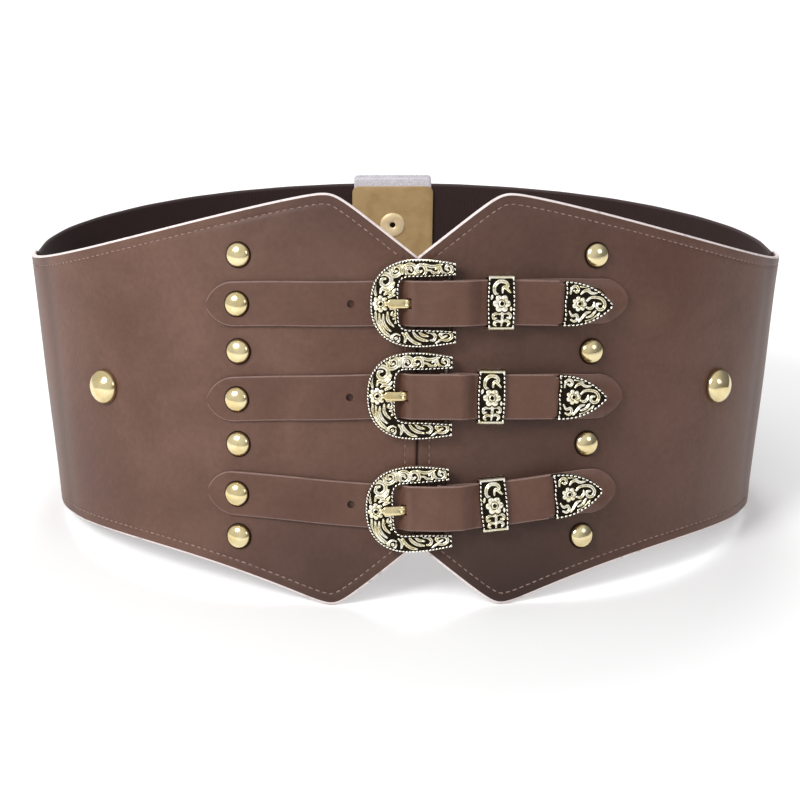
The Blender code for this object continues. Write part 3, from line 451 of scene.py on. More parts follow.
def turnedToFace(tree, along, slant):
    out = treeNode(tree, "GeometryNodeInputNamedAttribute", {"data_type": "FLOAT_VECTOR"}, {"Name": "out"})
    first = treeNode(tree, "FunctionNodeAlignRotationToVector", {"axis": "Z"}, {"Vector": out.outputs[0]})
    second = treeNode(tree, "FunctionNodeAlignRotationToVector", {"axis": "X", "pivot_axis": "Z"},
                      {"Rotation": first.outputs[0], "Vector": along})
    angles = treeNode(tree, "ShaderNodeCombineXYZ", None, {"Z": slant})
    euler = treeNode(tree, "FunctionNodeEulerToRotation", None, {0: angles.outputs[0]})
    turn = treeNode(tree, "FunctionNodeRotateRotation", {"rotation_space": "LOCAL"},
                    {"Rotation": second.outputs[0], "Rotate By": euler.outputs[0]})
    return turn.outputs[0]


def finishTree(tree, instances, group):
    real = treeNode(tree, "GeometryNodeRealizeInstances", None, {"Geometry": instances})
    smooth = treeNode(tree, "GeometryNodeSetShadeSmooth", None, {0: real.outputs[0]})
    coat = treeNode(tree, "GeometryNodeSetMaterial", None,
                    {"Geometry": smooth.outputs[0], "Material": group.outputs["Material"]})
    treeNode(tree, "NodeGroupOutput", None, {0: coat.outputs[0]})


def rowTree():
    # beads or stitches at an even pitch along paths
    tree, sockets = newTree("beadRow", [
        ("Pitch", "NodeSocketFloat", 0.0016), ("Length", "NodeSocketFloat", 0.001),
        ("Width", "NodeSocketFloat", 0.0005), ("Height", "NodeSocketFloat", 0.0005),
        ("Slant", "NodeSocketFloat", 0.0), ("Material", "NodeSocketMaterial", None)])
    group = treeNode(tree, "NodeGroupInput")
    curve = treeNode(tree, "GeometryNodeMeshToCurve", None, {"Mesh": group.outputs["Geometry"]})
    spots = treeNode(tree, "GeometryNodeResampleCurve", {"mode": "LENGTH"},
                     {"Curve": curve.outputs[0], "Length": group.outputs["Pitch"]})
    tangent = treeNode(tree, "GeometryNodeInputTangent")
    turn = turnedToFace(tree, tangent.outputs[0], group.outputs["Slant"])
    bead = treeNode(tree, "GeometryNodeMeshUVSphere", None, {"Segments": 8, "Rings": 5, "Radius": 0.5})
    size = treeNode(tree, "ShaderNodeCombineXYZ", None, {"X": group.outputs["Length"],
                    "Y": group.outputs["Width"], "Z": group.outputs["Height"]})
    rows = treeNode(tree, "GeometryNodeInstanceOnPoints", None,
                    {"Points": spots.outputs[0], "Instance": bead.outputs[0], "Rotation": turn,
                     "Scale": size.outputs[0]})
    finishTree(tree, rows.outputs[0], group)
    return tree, sockets


def studTree():
    # one turned head at every marked place
    tree, sockets = newTree("headAtPlaces", [
        ("Head", "NodeSocketObject", None), ("Material", "NodeSocketMaterial", None)])
    group = treeNode(tree, "NodeGroupInput")
    head = treeNode(tree, "GeometryNodeObjectInfo", {"transform_space": "ORIGINAL"},
                    {"Object": group.outputs["Head"]})
    along = treeNode(tree, "GeometryNodeInputNamedAttribute", {"data_type": "FLOAT_VECTOR"},
                     {"Name": "along"})
    turn = turnedToFace(tree, along.outputs[0], 0.0)
    heads = treeNode(tree, "GeometryNodeInstanceOnPoints", None,
                     {"Points": group.outputs["Geometry"], "Instance": head.outputs["Geometry"],
                      "Rotation": turn})
    finishTree(tree, heads.outputs[0], group)
    return tree, sockets


beadRow = rowTree()
headAtPlaces = studTree()


def grown(name, mesh, tree, values):
    # runs a tree on a helper mesh and keeps the plain result
    obj = shown(name, mesh, None)
    modifier = obj.modifiers.new("grow", "NODES")
    modifier.node_group = tree[0]
    for label, value in values.items():
        modifier[tree[1][label]] = value
    return settled(obj)


def rowMesh(name, paths, size, material):
    # paths: (points, outward directions) pairs
    points, edges, outs = [], [], []
    for path, out in paths:
        start = len(points)
        points += np.asarray(path).tolist()
        outs += np.asarray(out).tolist()
        edges += [(start + index, start + index + 1) for index in range(len(path) - 1)]
    mesh = bpy.data.meshes.new(name)
    mesh.from_pydata(points, edges, [])
    layer = mesh.attributes.new("out", "FLOAT_VECTOR", "POINT")
    layer.data.foreach_set("vector", np.array(outs, np.float32).ravel())
    pitch, length, width, height, slant = size
    return grown(name, mesh, beadRow, {"Pitch": pitch, "Length": length, "Width": width, "Height": height,
                                       "Slant": slant, "Material": material})


# leather panels
panels = {
    "thick": 0.0022, "gap": 0.00006, "length": 0.2265, "peakOut": 0.0345, "tipOut": 0.0368,
    "peakHalf": 0.0864, "tipHalf": 0.0876, "notchHalf": 0.0582, "sideTop": 0.0538, "sideBottom": 0.0550,
    "topBow": 1.8, "bottomBow": 2.1, "peakRound": 0.0030, "cornerRound": 0.0050,
    "paleEdge": 0.00085, "edgeDrop": 0.00062,           # the pale cut edge's width and fall
    "burnish": {-1: ((0.036, -0.092, 0.062, 0.050, 0.62), (0.034, 0.086, 0.050, 0.034, 0.40)),
                1: ((0.036, -0.092, 0.080, 0.055, 0.92), (0.034, 0.086, 0.060, 0.036, 0.42),
                    (0.052, 0.004, 0.045, 0.045, 0.50))},          # painted shade, darker at the peaks, the tips and between the right straps: place, reach, strength
    "stitchIn": 0.0046,           # the stitch line's distance from the edge
    "stitchDrop": 0.00022, "stitchWide": 0.0007, "seamDrop": 0.00095, "seamTurn": 0.0014,
    "seamRowDrop": 0.00018,
    "creaseAt": 0.1835, "creaseWide": 0.0060, "creaseDeep": 0.0003,
    "seamRowOut": 0.0052, "sideRowIn": 0.0045,
    "stitch": (0.0031, 0.0023, 0.00062, 0.0005, 0.0),
}


def panelEdge(s, peakOut, peakHalf, sideHalf, bow):
    notch, run = panels["notchHalf"], panels["length"] - peakOut
    notchLine = notch + (peakHalf - notch) / peakOut * s
    share = np.clip((s - peakOut) / run, 0.0, 1.0)
    sideLine = sideHalf + (peakHalf - sideHalf) * (1.0 - share) ** bow
    fall = bow * (peakHalf - sideHalf) / run
    sideLine = np.where(s < peakOut, peakHalf + fall * (peakOut - s), sideLine)
    gap = notchLine - sideLine
    rounded = (notchLine + sideLine - np.sqrt(gap ** 2 + 4 * panels["peakRound"] ** 2)) / 2
    corner = panels["cornerRound"]
    distance = np.clip(panels["length"] - s, 0.0, corner)
    pull = corner - np.sqrt(np.maximum(corner ** 2 - (corner - distance) ** 2, 0.0))
    return rounded + panels["peakRound"] - pull


def panelTop(s):
    return panelEdge(s, panels["peakOut"], panels["peakHalf"], panels["sideTop"], panels["topBow"])


def panelBottom(s):
    return -panelEdge(s, panels["tipOut"], panels["tipHalf"], panels["sideBottom"], panels["bottomBow"])


def edgeSlope(edge, s):
    step = 0.0003
    return (edge(s + step) - edge(s - step)) / (2 * step)


def steepness(edge, s):
    return np.clip(np.sqrt(1.0 + edgeSlope(edge, s) ** 2), 1.0, 1.7)


rows = (
    {"row": 1, "leftV": 0.0387, "buckleS": -0.0026, "buckleV": 0.0418, "turn": 0.5, "keeperS": 0.0333,
     "keeperV": 0.0416, "tipS": 0.0690, "tipV": 0.0392, "rightS": 0.0742, "rightV": 0.0399},
    {"row": 2, "leftV": -0.0018, "buckleS": -0.0036, "buckleV": 0.0029, "turn": 0.0, "keeperS": 0.0303,
     "keeperV": 0.0019, "tipS": 0.0684, "tipV": -0.0001, "rightS": 0.0743, "rightV": -0.0008},
    {"row": 3, "leftV": -0.0424, "buckleS": -0.0038, "buckleV": -0.0444, "turn": 3.0, "keeperS": 0.0325,
     "keeperV": -0.0441, "tipS": 0.0687, "tipV": -0.0411, "rightS": 0.0742, "rightV": -0.0416},
)
rivets = {
    "radius": 0.0052, "dome": 0.0030, "column": 0.0750, "leftColumn": 0.0768, "leftSlant": 0.050,
    "heights": (0.0593, 0.0184, -0.0212, -0.0611),
    "capRadius": 0.0042, "capThick": 0.0008, "sides": 40, "dent": 0.00022, "dentWide": 0.0016,
}
sideStuds = {"radius": 0.0077, "dome": 0.0058, "out": 0.1455, "up": 0.0019, "cone": 0.55, "sides": 56,
             "dent": 0.00026, "dentWide": 0.0019}
play = 0.0003                   # the space between pieces that touch
onAxis = 0.00002                # where a turned shape closes
bothSides = ((-1, "left"), (1, "right"))


def rivetColumn(side, v):
    return rivets["column"] if side > 0 else rivets["leftSlant"] * v - rivets["leftColumn"]


def rivetPlaces(side):
    # (s, v, through a strap)
    places = [(rivetColumn(side, height), height, False) for height in rivets["heights"]]
    for row in rows:
        places.append((rivetColumn(-1, row["leftV"]), row["leftV"], True) if side < 0
                      else (row["rightS"], row["rightV"], True))
    return places


def faceWave(s, v):
    # slow unevenness of hung leather
    return 0.00016 * (np.sin(s * 61.0 + v * 23.0) * np.sin(v * 47.0 - s * 19.0 + 1.0)
                      + 0.6 * np.sin(s * 118.0 - v * 71.0 + 2.0))


def panelLift(side, s, v, distance):
    lift = faceWave(side * s, v) * np.clip(distance / 0.010, 0.0, 1.0)
    lift = lift - panels["edgeDrop"] * np.clip(1.0 - distance / panels["paleEdge"], 0.0, 1.0) ** 1.4
    stitchWide = panels["stitchWide"]
    lift = lift - panels["stitchDrop"] * np.exp(-((distance - panels["stitchIn"]) / stitchWide) ** 2)
    lift = lift - panels["seamDrop"] * np.clip(1.0 - s / panels["seamTurn"], 0.0, 1.0) ** 2
    lift = lift - panels["seamRowDrop"] * np.exp(-((s - panels["seamRowOut"]) / stitchWide) ** 2)
    lift = lift - panels["creaseDeep"] * np.exp(-((s - panels["creaseAt"]) / panels["creaseWide"]) ** 2)
    for placeS, placeV, _ in rivetPlaces(side):
        reach = np.hypot(s - abs(placeS), v - placeV)
        lift = lift - rivets["dent"] * np.exp(-((reach - rivets["radius"]) / rivets["dentWide"]) ** 2)
    reach = np.hypot(s - sideStuds["out"], v - sideStuds["up"])
    past = (reach - sideStuds["radius"]) / sideStuds["dentWide"]
    return lift - sideStuds["dent"] * np.exp(-past ** 2)


def buildPanel(side, name):
    start, length = panels["gap"] / 2, panels["length"]
    columns = np.unique(np.round(np.concatenate([
        np.linspace(start, 0.0075, 16), np.linspace(0.0075, 0.028, 16), np.linspace(0.028, 0.044, 26),
        np.linspace(0.044, length - 0.0052, 128),
        length - 0.0052 * (1 - np.sin(np.linspace(0, math.pi / 2, 12))),
    ]), 6))
    near = np.array((0.0, 0.2, 0.45, 0.7, 0.84, 0.96, 1.7, 2.8, 3.5, 4.0,
                     4.35, 4.6, 4.85, 5.2, 6.0, 7.5)) * mm
    top, bottom = panelTop(columns), panelBottom(columns)
    steepTop, steepBottom = steepness(panelTop, columns), steepness(panelBottom, columns)
    low = bottom[:, None] + near * steepBottom[:, None]
    high = top[:, None] - near[::-1] * steepTop[:, None]
    share = np.linspace(0.0, 1.0, 64)[None, 1:-1]
    middle = low[:, -1:] + (high[:, :1] - low[:, -1:]) * share
    v = np.concatenate([low, middle, high], 1)
    s = np.repeat(columns[:, None], v.shape[1], 1)
    distance = np.minimum((top[:, None] - v) / steepTop[:, None],
                          (v - bottom[:, None]) / steepBottom[:, None])
    distance = np.minimum(distance, length - s)
    lift = panelLift(side, s, v, distance)
    backShare = np.linspace(1.0, 0.0, 34)[None, :]
    inset = 0.0003
    backV = (bottom[:, None] + inset) + (top[:, None] - bottom[:, None] - 2 * inset) * backShare
    rim = np.full((len(columns), 1), -1.5 * mm)
    ringV = np.concatenate([v, top[:, None], backV, bottom[:, None]], 1)
    ringLift = np.concatenate([lift, rim, np.full(backV.shape, -panels["thick"]), rim], 1)
    ringS = np.repeat(columns[:, None], ringV.shape[1], 1)
    points = wrap(side * ringS, ringV, ringLift)
    one, none = np.ones_like(rim), np.zeros_like(rim)
    edge = np.concatenate([np.clip((panels["paleEdge"] + 0.0001 - distance) / 0.0001, 0, 1), one,
                           np.zeros_like(backV), one], 1)
    lining = np.concatenate([np.zeros_like(v), none, np.ones_like(backV), none], 1)
    # painted shade: darker towards the peaks and tips, stronger on the right panel, and between its straps
    burnish = np.zeros_like(ringS)
    for placeS, placeV, wideS, wideV, strength in panels["burnish"][side]:
        burnish = burnish + strength * np.exp(-((ringS - placeS) / wideS) ** 2
                                              - ((ringV - placeV) / wideV) ** 2)
    # painted shade along the side fold, towards the side end and at the centre seam
    crease = 0.30 * np.exp(-((ringS - panels["creaseAt"]) / (panels["creaseWide"] * 0.75)) ** 2)
    crease = crease + 0.25 * np.exp(-((ringS - length + 0.010) / 0.006) ** 2)
    crease = crease + 0.85 * np.clip(1.0 - ringS / 0.0011, 0.0, 1.0)
    crease = np.clip(crease, 0.0, 0.9) * (1.0 - lining)
    mesh = loft(f"panel_{name}", points, {"edge": edge, "lining": lining, "crease": crease,
                                           "burnish": np.clip(burnish, 0.0, 0.9)}, 50.0)
    return piece(f"panel_{name}", mesh, panelLeather, [f"front_panel_{name}"])


def stitchPath(side, s, v, lift=0.00002):
    return wrap(side * s, v, lift), directions(side * s, v)[2]


def panelStitches(side, name):
    inward, length = panels["stitchIn"], panels["length"]
    s = np.linspace(0.0062, length - 0.006, 420)
    paths = []
    for edge, sign in ((panelTop, -1), (panelBottom, 1)):
        slope = edgeSlope(edge, s)
        normalS, normalV = -slope / np.hypot(1, slope), 1 / np.hypot(1, slope)
        pathS = s + sign * normalS * inward
        pathV = edge(s) + sign * normalV * inward
        paths.append(stitchPath(side, pathS, pathV, panelLift(side, pathS, pathV, inward) + 0.0001))
    seamTop = panels["notchHalf"] - 0.004
    v = np.linspace(-seamTop, seamTop, 120)
    paths.append(stitchPath(side, np.full(120, panels["seamRowOut"]), v))
    for inside in (panels["sideRowIn"], panels["sideRowIn"] + 0.0028):
        v = np.linspace(-panels["sideBottom"] + 0.006, panels["sideTop"] - 0.006, 120)
        paths.append(stitchPath(side, np.full(120, length - inside), v))
    mesh = rowMesh(f"stitches_{name}", paths, panels["stitch"], redThread)
    return piece(f"stitches_{name}", mesh, redThread)


for side, name in bothSides:
    buildPanel(side, name)
    panelStitches(side, name)
print("panels made")

# elastic back band
band = {"thick": 0.0016, "topHalf": 0.0566, "seamLap": 0.009, "plateWidth": 0.042, "clasp": 0.0135}


def bandFloor():
    s = np.linspace(panels["gap"] / 2, panels["length"], 500)
    return float(np.min(wrap(s, panelBottom(s), -panels["thick"])[:, 2]) - loop["centre"][2])


band["floor"] = bandFloor()


def buildBand(side, name):
    outer = -panels["thick"] - play
    start = panels["length"] - band["seamLap"]
    end = halfRound - band["plateWidth"] / 2 + band["clasp"]
    columns = np.linspace(start, end, 190)
    height = band["topHalf"] - band["floor"]
    share = np.concatenate([[0.0, 0.004, 0.012], np.linspace(0.02, 0.98, 46), [0.988, 0.996, 1.0]])
    v = band["floor"] + height * share
    edgeDrop = 0.0004 * np.clip(1.0 - np.minimum(share, 1 - share) * height / 0.0009, 0.0, 1.0) ** 2
    faceOut = np.concatenate([-edgeDrop, (edgeDrop - band["thick"])[::-1]])
    ringV = np.concatenate([v, v[::-1]])
    s, v2 = np.meshgrid(columns, ringV, indexing="ij")
    ripple = 0.00016 * np.sin(s * 240.0) * np.sin(v2 * 33.0)
    points = wrap(side * s, v2, outer + faceOut[None, :] + ripple * (faceOut[None, :] > -band["thick"] / 2))
    pattern = np.stack((s, v2, np.zeros_like(s)), -1)
    top = np.clip((v2 - band["topHalf"] + 0.0011) / 0.0004, 0.0, 1.0)
    mesh = loft(f"band_{name}", points, {"pattern": pattern, "edge": top * 0.15}, 50.0)
    return piece(f"band_{name}", mesh, elastic, [f"back_band_{name}"])


for side, name in bothSides:
    buildBand(side, name)
print("band made")

# clasp
clasp = {"height": 0.111, "plateThick": 0.0012, "corner": 0.0034, "bevel": 0.00045, "studRadius": 0.0064,
         "raise": 0.0003, "aside": 0.0032, "tapeUp": 0.0054, "studDrop": 0.0205, "bore": 0.0015}


def roundedOutline(low, high, corner, inset=0.0, steps=8):
    points = []
    corners = ((high[0], high[1]), (low[0], high[1]), (low[0], low[1]), (high[0], low[1]))
    for index, (cx, cy) in enumerate(corners):
        sx, sy = (1 if cx == high[0] else -1), (1 if cy == high[1] else -1)
        for angle in np.radians(np.linspace(90 * index, 90 * index + 90, steps)):
            points.append((cx - sx * corner + (corner - inset) * math.cos(angle),
                           cy - sy * corner + (corner - inset) * math.sin(angle)))
    return np.array(points)


def plateMesh(name, matrix, low, high, corner, bevel):
    rings = []
    for z, inset in ((low[2], bevel), (low[2] + bevel * 0.3, bevel * 0.3), (low[2] + bevel, 0.0),
                     (high[2] - bevel, 0.0), (high[2] - bevel * 0.3, bevel * 0.3), (high[2], bevel)):
        outline = roundedOutline(low[:2], high[:2], corner, inset)
        rings.append(np.column_stack((outline, np.full(len(outline), z))))
    return loft(name, moved(np.array(rings), matrix), smooth=30.0)


def buildClasp():
    middle = (band["topHalf"] + band["floor"]) / 2 + clasp["raise"]
    middleS = clasp["aside"] - halfRound
    halfW, halfH = band["plateWidth"] / 2, clasp["height"] / 2
    outer = -panels["thick"] - play
    matrix = placeMatrix(middleS, middle)
    spot = matrix.inverted() @ Vector(wrap(middleS + halfW, middle, outer - band["thick"]))
    innerFace, outerFace = spot.z - play, outer + play
    thick = clasp["plateThick"]
    inner = plateMesh("clasp_inner", matrix, (-halfW, -halfH, innerFace - thick), (halfW, halfH, innerFace),
                      clasp["corner"], clasp["bevel"])
    piece("clasp_inner", inner, claspGold, ["clasp_plate_inner"])
    outside = plateMesh("clasp_outer", matrix, (-halfW, -halfH, outerFace), (halfW, halfH, outerFace + thick),
                        clasp["corner"], clasp["bevel"])
    piece("clasp_outer", outside, claspGold, ["clasp_plate_outer"])
    top = halfH + clasp["tapeUp"]
    split = (innerFace + outerFace) / 2
    tapes = [plateMesh("tape", matrix, (-halfW + 0.001, halfH - 0.020, low),
                       (halfW - 0.001, reach, high), 0.0022, 0.0003)
             for low, high, reach in ((innerFace + 0.0001, split - 0.0001, top - 0.0016),
                                      (split + 0.0001, outerFace - 0.0001, top))]
    piece("clasp_tape", joined("clasp_tape", tapes), paleTape)
    radius, bore, back, front = clasp["studRadius"], clasp["bore"], innerFace - thick, outerFace + thick
    ring = [(onAxis, back + 0.0018), (bore, back + 0.0018), (bore, back - 0.0006),
            (bore * 1.35, back - 0.00105),
            (radius * 0.50, back - 0.00125), (radius * 0.72, back - 0.00120), (radius * 0.90, back - 0.00085),
            (radius * 0.99, back - 0.0004), (radius, back - 0.00005), (radius * 0.55, back + 0.0003),
            (radius * 0.5, front - 0.0003), (radius, front + 0.00005), (radius, front + 0.0005),
            (radius * 0.9, front + 0.0011), (radius * 0.7, front + 0.0014), (bore, front + 0.0015),
            (onAxis, front + 0.0015)]
    for label, height in (("upper", halfH - clasp["studDrop"]), ("lower", clasp["studDrop"] - halfH)):
        mesh = lathe(f"clasp_ring_{label}", ring, matrix @ Matrix.Translation((0, height, 0)), 48, 35.0)
        piece(f"clasp_ring_{label}", mesh, ringGold, [f"clasp_stud_{label}"])
        # a dark disc deep in each bore, painted shade inside the hole
        boreShadeDisc = [(onAxis, back - 0.0003), (bore * 0.99, back - 0.0003),
                (bore * 0.99, back + 0.001), (onAxis, back + 0.001)]
        mesh = lathe(f"clasp_bore_{label}", boreShadeDisc, matrix @ Matrix.Translation((0, height, 0)), 24)
        piece(f"clasp_bore_{label}", mesh, antiqueGold)


buildClasp()
print("clasp made")

# straps
strap = {"width": 0.0190, "thick": 0.0016, "endRound": 0.0121, "endPoint": 0.70, "endBlunt": 0.10,
         "tail": 0.0137, "shortTail": 0.0155, "holeOut": 0.0068, "hole": 0.0032,
         "underBow": 0.0002, "foldReturn": 0.0046, "rise": (0.0015, 0.0074), "slot": (0.0033, 0.0054)}
buckle = {"length": 0.0358, "height": 0.0367, "bow": 0.0118, "armEnd": 0.0051, "openHalf": 0.0109,
          "openEnd": 0.0116, "outerSquare": 2.35, "innerSquare": 5.0, "thick": 0.0024, "barRadius": 0.0011,
          "barIn": 0.0024, "armShare": 0.22, "columns": 540, "across": 62}
keeper = {"length": 0.0118, "side": 0.0012, "back": 0.0006, "front": 0.0012}
tip = {"length": 0.0212, "wall": 0.0006, "front": 0.0009, "grip": 0.0070, "point": 0.08,
       "spring": 2.4, "draw": 0.95, "wave": 0.00045}
prong = {"width": 0.0038, "thick": 0.0014, "overBow": 0.0050, "slotRoom": 0.0003,
         "bend": ((0.0156, 0.36), (0.0088, -0.10), (0.0065, 0.07), (0.0047, 0.54), (0.0027, 0.91),
                  (0.0004, 1.0))}

flatLift = play + strap["thick"] / 2
keeperLift = 2 * play + keeper["back"] + strap["thick"] / 2
foldRadius = buckle["barRadius"] + play + strap["thick"] / 2
barLift = keeperLift + foldRadius
overFoldLift = barLift + foldRadius + strap["thick"] + play
overKeeperLift = keeperLift + strap["thick"] + play
onStrap = play + strap["thick"]
tipEndLift = onStrap + rivets["dome"] + 6 * play + tip["wall"] + strap["thick"] / 2
barX = buckle["length"] / 2 - buckle["barIn"]
bowInner = -buckle["length"] / 2 + buckle["bow"]


def alongRow(row, s):
    places = (rivetColumn(-1, row["leftV"]), row["buckleS"] + bowInner, row["buckleS"] + barX,
              row["keeperS"], row["tipS"])
    heights = (row["leftV"], row["buckleV"], row["buckleV"], row["keeperV"], row["tipV"])
    value = np.interp(s, places, heights)
    before = (heights[1] - heights[0]) / (places[1] - places[0])
    after = (heights[-1] - heights[-2]) / (places[-1] - places[-2])
    value = np.where(s < places[0], heights[0] + before * (s - places[0]), value)
    return np.where(s > places[-1], heights[-1] + after * (s - places[-1]), value)


def holeStrapLift(row, s):
    bow, bar = row["buckleS"] + bowInner, row["buckleS"] + barX
    start = row["keeperS"] - keeper["length"] / 2
    under = flatLift + strap["underBow"]
    places = np.array((bow - buckle["bow"] - strap["rise"][1], bow - buckle["bow"],
                       bow + strap["rise"][0], bow + strap["rise"][1], bar - foldRadius,
                       bar + strap["foldReturn"] + strap["thick"] / 2, start - 2 * play,
                       start + keeper["length"] + 2 * play, row["tipS"] + tip["length"] / 2))
    lifts = np.array((flatLift, under, under, overFoldLift - strap["thick"], overFoldLift, overFoldLift,
                      overKeeperLift, overKeeperLift, tipEndLift))
    s = np.asarray(s, float)
    index = np.clip(np.searchsorted(places, s), 1, len(places) - 1)
    share = np.clip((s - places[index - 1]) / (places[index] - places[index - 1]), 0.0, 1.0)
    share = np.where(index < len(places) - 1, share * share * (3.0 - 2.0 * share), share)
    return lifts[index - 1] + (lifts[index] - lifts[index - 1]) * share


def rowPoint(row, s):
    return wrap(s, alongRow(row, s), holeStrapLift(row, s))


def rowMatrix(row, s, reach):
    ahead, behind = rowPoint(row, s + reach), rowPoint(row, s - reach)
    return axesAt((ahead + behind) / 2, ahead - behind, directions(s, float(alongRow(row, s)))[2])


def buckleMatrix(row):
    bar = wrap(row["buckleS"] + barX, row["buckleV"], barLift)
    along, _, out = directions(row["buckleS"], row["buckleV"])
    turn = Matrix.Rotation(math.radians(row["turn"]), 4, "Z")
    return axesAt(bar, along, out) @ turn @ Matrix.Translation((-barX, 0.0, 0.0))


def roundedEnd(distance):
    share = 1.0 - (1.0 - np.clip(distance / strap["endRound"], 0.0, 1.0)) ** 2
    return strap["endBlunt"] + (1.0 - strap["endBlunt"]) * share ** strap["endPoint"]


def strapSection(halfWidth, steep):
    # (across, height) round the section, pale where the edge is cut
    half = strap["thick"] / 2
    near = np.array((0.0, 0.12, 0.30, 0.50, 0.62, 1.3)) * mm * steep
    near = np.minimum(near, halfWidth * np.linspace(0.0, 0.6, 6))
    drop = np.array((0.50, 0.26, 0.09, 0.02, 0.0, 0.0)) * mm
    pale = np.array((1.0, 1.0, 0.85, 0.35, 0.0, 0.0))
    across = np.concatenate([-halfWidth + near, np.linspace(-1, 1, 9)[1:-1] * (halfWidth - near[-1]),
                             (halfWidth - near)[::-1]])
    inner = np.zeros(7)
    height = np.concatenate([half - drop, half + inner, (half - drop)[::-1]])
    tint = np.concatenate([pale, inner, pale[::-1]])
    low = np.array((1.0, 0.97, 0.5, 0.0, -0.5, -0.97, -1.0)) * halfWidth
    lowHeight = np.array((-half + 0.0003, -half, -half, -half, -half, -half, -half + 0.0003))
    return (np.concatenate([across, low]), np.concatenate([height, lowHeight]),
            np.concatenate([tint, (1.0, 0.2, 0, 0, 0, 0.2, 1.0)]))


def strapLoft(name, s, lift, centre, halfWidths, steeps, slant=None):
    # the section is carried along (s, lift), square to the path
    ds, dl = np.gradient(s), np.gradient(lift)
    length = np.hypot(ds, dl)
    facing = np.sign(ds[0]) if ds[0] else 1.0
    normalS, normalL = -dl / length * facing, ds / length * facing
    rings, pales = [], []
    for index in range(len(s)):
        across, height, tint = strapSection(halfWidths[index], steeps[index])
        shift = s[index] + normalS[index] * height
        if slant is not None:
            shift = shift - across * slant[index]
        rings.append(wrap(shift, centre[index] + across, lift[index] + normalL[index] * height))
        pales.append(tint)
    pales = np.array(pales)
    none = np.zeros_like(pales)
    return loft(name, np.array(rings), {"edge": pales * 0.85, "lining": none, "crease": none}, 50.0)


def buildHoleStrap(row):
    start = rivetColumn(-1, row["leftV"]) - strap["tail"]
    end = row["tipS"] - tip["length"] / 2 + tip["grip"]
    mouth = end - tip["grip"] - 3 * play
    s = np.concatenate([start + strap["endRound"] * (1 - np.cos(np.linspace(0, math.pi / 2, 22))),
                        np.arange(start + strap["endRound"] + 0.0008, mouth - 0.0012, 0.0008),
                        (mouth - 0.0004, mouth, end)])
    half = strap["width"] / 2 * roundedEnd(s - start)
    slope = np.abs(np.gradient(half, s))
    steeps = np.clip(np.sqrt(1 + slope ** 2), 1.0, 2.2)
    half[-2:] = strap["width"] / 2 - tip["wall"] - 2 * play
    name = f"strap_long_{row['row']}"
    mesh = strapLoft(name, s, holeStrapLift(row, s), alongRow(row, s), half, steeps)
    holeS = row["buckleS"] - buckle["length"] / 2 - strap["holeOut"]
    slotHalf = prong["width"] / 2 + prong["slotRoom"]
    cutters = [(placeMatrix(holeS, float(alongRow(row, holeS))), (strap["hole"] / 2, 0.012)),
               (buckleMatrix(row), (bowInner + strap["slot"][0], -slotHalf, -barLift,
                                    bowInner + strap["slot"][1], slotHalf, overFoldLift))]
    mesh = carved(name, mesh, cutters, 50.0)
    return piece(name, mesh, strapLeather, [f"hole_strap_{row['row']}"])


def buildBuckleStrap(row):
    bar = row["buckleS"] + barX
    end = row["rightS"] + strap["shortTail"]
    keeperEnd = row["keeperS"] + keeper["length"] / 2
    reach = strap["endRound"]
    endPart = end - reach * (1 - np.cos(np.linspace(0, math.pi / 2, 22)))
    share = np.linspace(0.0, 1.0, 34)[1:]
    climb = end - reach + (keeperEnd - end + reach) * share
    climbLift = flatLift + (keeperLift - flatLift) * share * share * (3 - 2 * share)
    flat = keeperEnd + (bar + strap["foldReturn"] - keeperEnd) * np.linspace(0, 1, 24)[1:]
    turn = np.linspace(0, math.pi, 21)
    s = np.concatenate([endPart, climb, flat, np.linspace(bar + strap["foldReturn"], bar, 7)[1:-1],
                        bar - foldRadius * np.sin(turn),
                        [bar + strap["foldReturn"] * 0.5, bar + strap["foldReturn"]]])
    lift = np.concatenate([np.full(22, flatLift), climbLift, np.full(23, keeperLift), np.full(5, keeperLift),
                           barLift - foldRadius * np.cos(turn), [barLift + foldRadius] * 2])
    centre = np.interp(s, (bar + strap["foldReturn"], row["keeperS"], row["rightS"]),
                       (row["buckleV"], row["keeperV"], row["rightV"]))
    half = strap["width"] / 2 * roundedEnd(end - s)
    steeps = np.clip(np.sqrt(1 + np.gradient(half) ** 2 / np.maximum(np.gradient(s) ** 2, 1e-9)), 1.0, 2.2)
    slant = math.tan(math.radians(row["turn"])) * np.interp(
        s, (bar + strap["foldReturn"], row["keeperS"] - keeper["length"] / 2), (1.0, 0.0))
    name = f"strap_short_{row['row']}"
    mesh = strapLoft(name, s[::-1], lift[::-1], centre[::-1], half[::-1], steeps[::-1], slant[::-1])
    slotHalf, box = prong["width"] / 2 + prong["slotRoom"], foldRadius + prong["thick"]
    slot = (barX - box, -slotHalf, -box, barX + box, slotHalf, box)
    mesh = carved(name, mesh, [(buckleMatrix(row), slot)], 50.0)
    return piece(name, mesh, strapLeather, [f"buckle_strap_{row['row']}"])


for row in rows:
    buildHoleStrap(row)
    buildBuckleStrap(row)
print("straps made")


# relief: strokes drawn in millimetres, turned into heights
def flowing(points, steps=16):
    p = np.array(points, float)
    p = np.vstack([2 * p[0] - p[1], p, 2 * p[-1] - p[-2]])
    t = np.linspace(0.0, 1.0, steps, endpoint=False)[:, None]
    parts = []
    for a, b, c, d in zip(p, p[1:], p[2:], p[3:]):
        parts.append(0.5 * (2 * b + (c - a) * t + (2 * a - 5 * b + 4 * c - d) * t ** 2
                            + (3 * b - a - 3 * c + d) * t ** 3))
    parts.append(p[-2][None])
    return np.concatenate(parts)


def curl(x, y, radius, start, sweep, inner):
    share = np.linspace(0.0, 1.0, 90)
    angle = np.radians(start + sweep * share)
    reach = radius * (1.0 - (1.0 - inner) * share)
    return np.column_stack((x + reach * np.cos(angle), y + reach * np.sin(angle)))


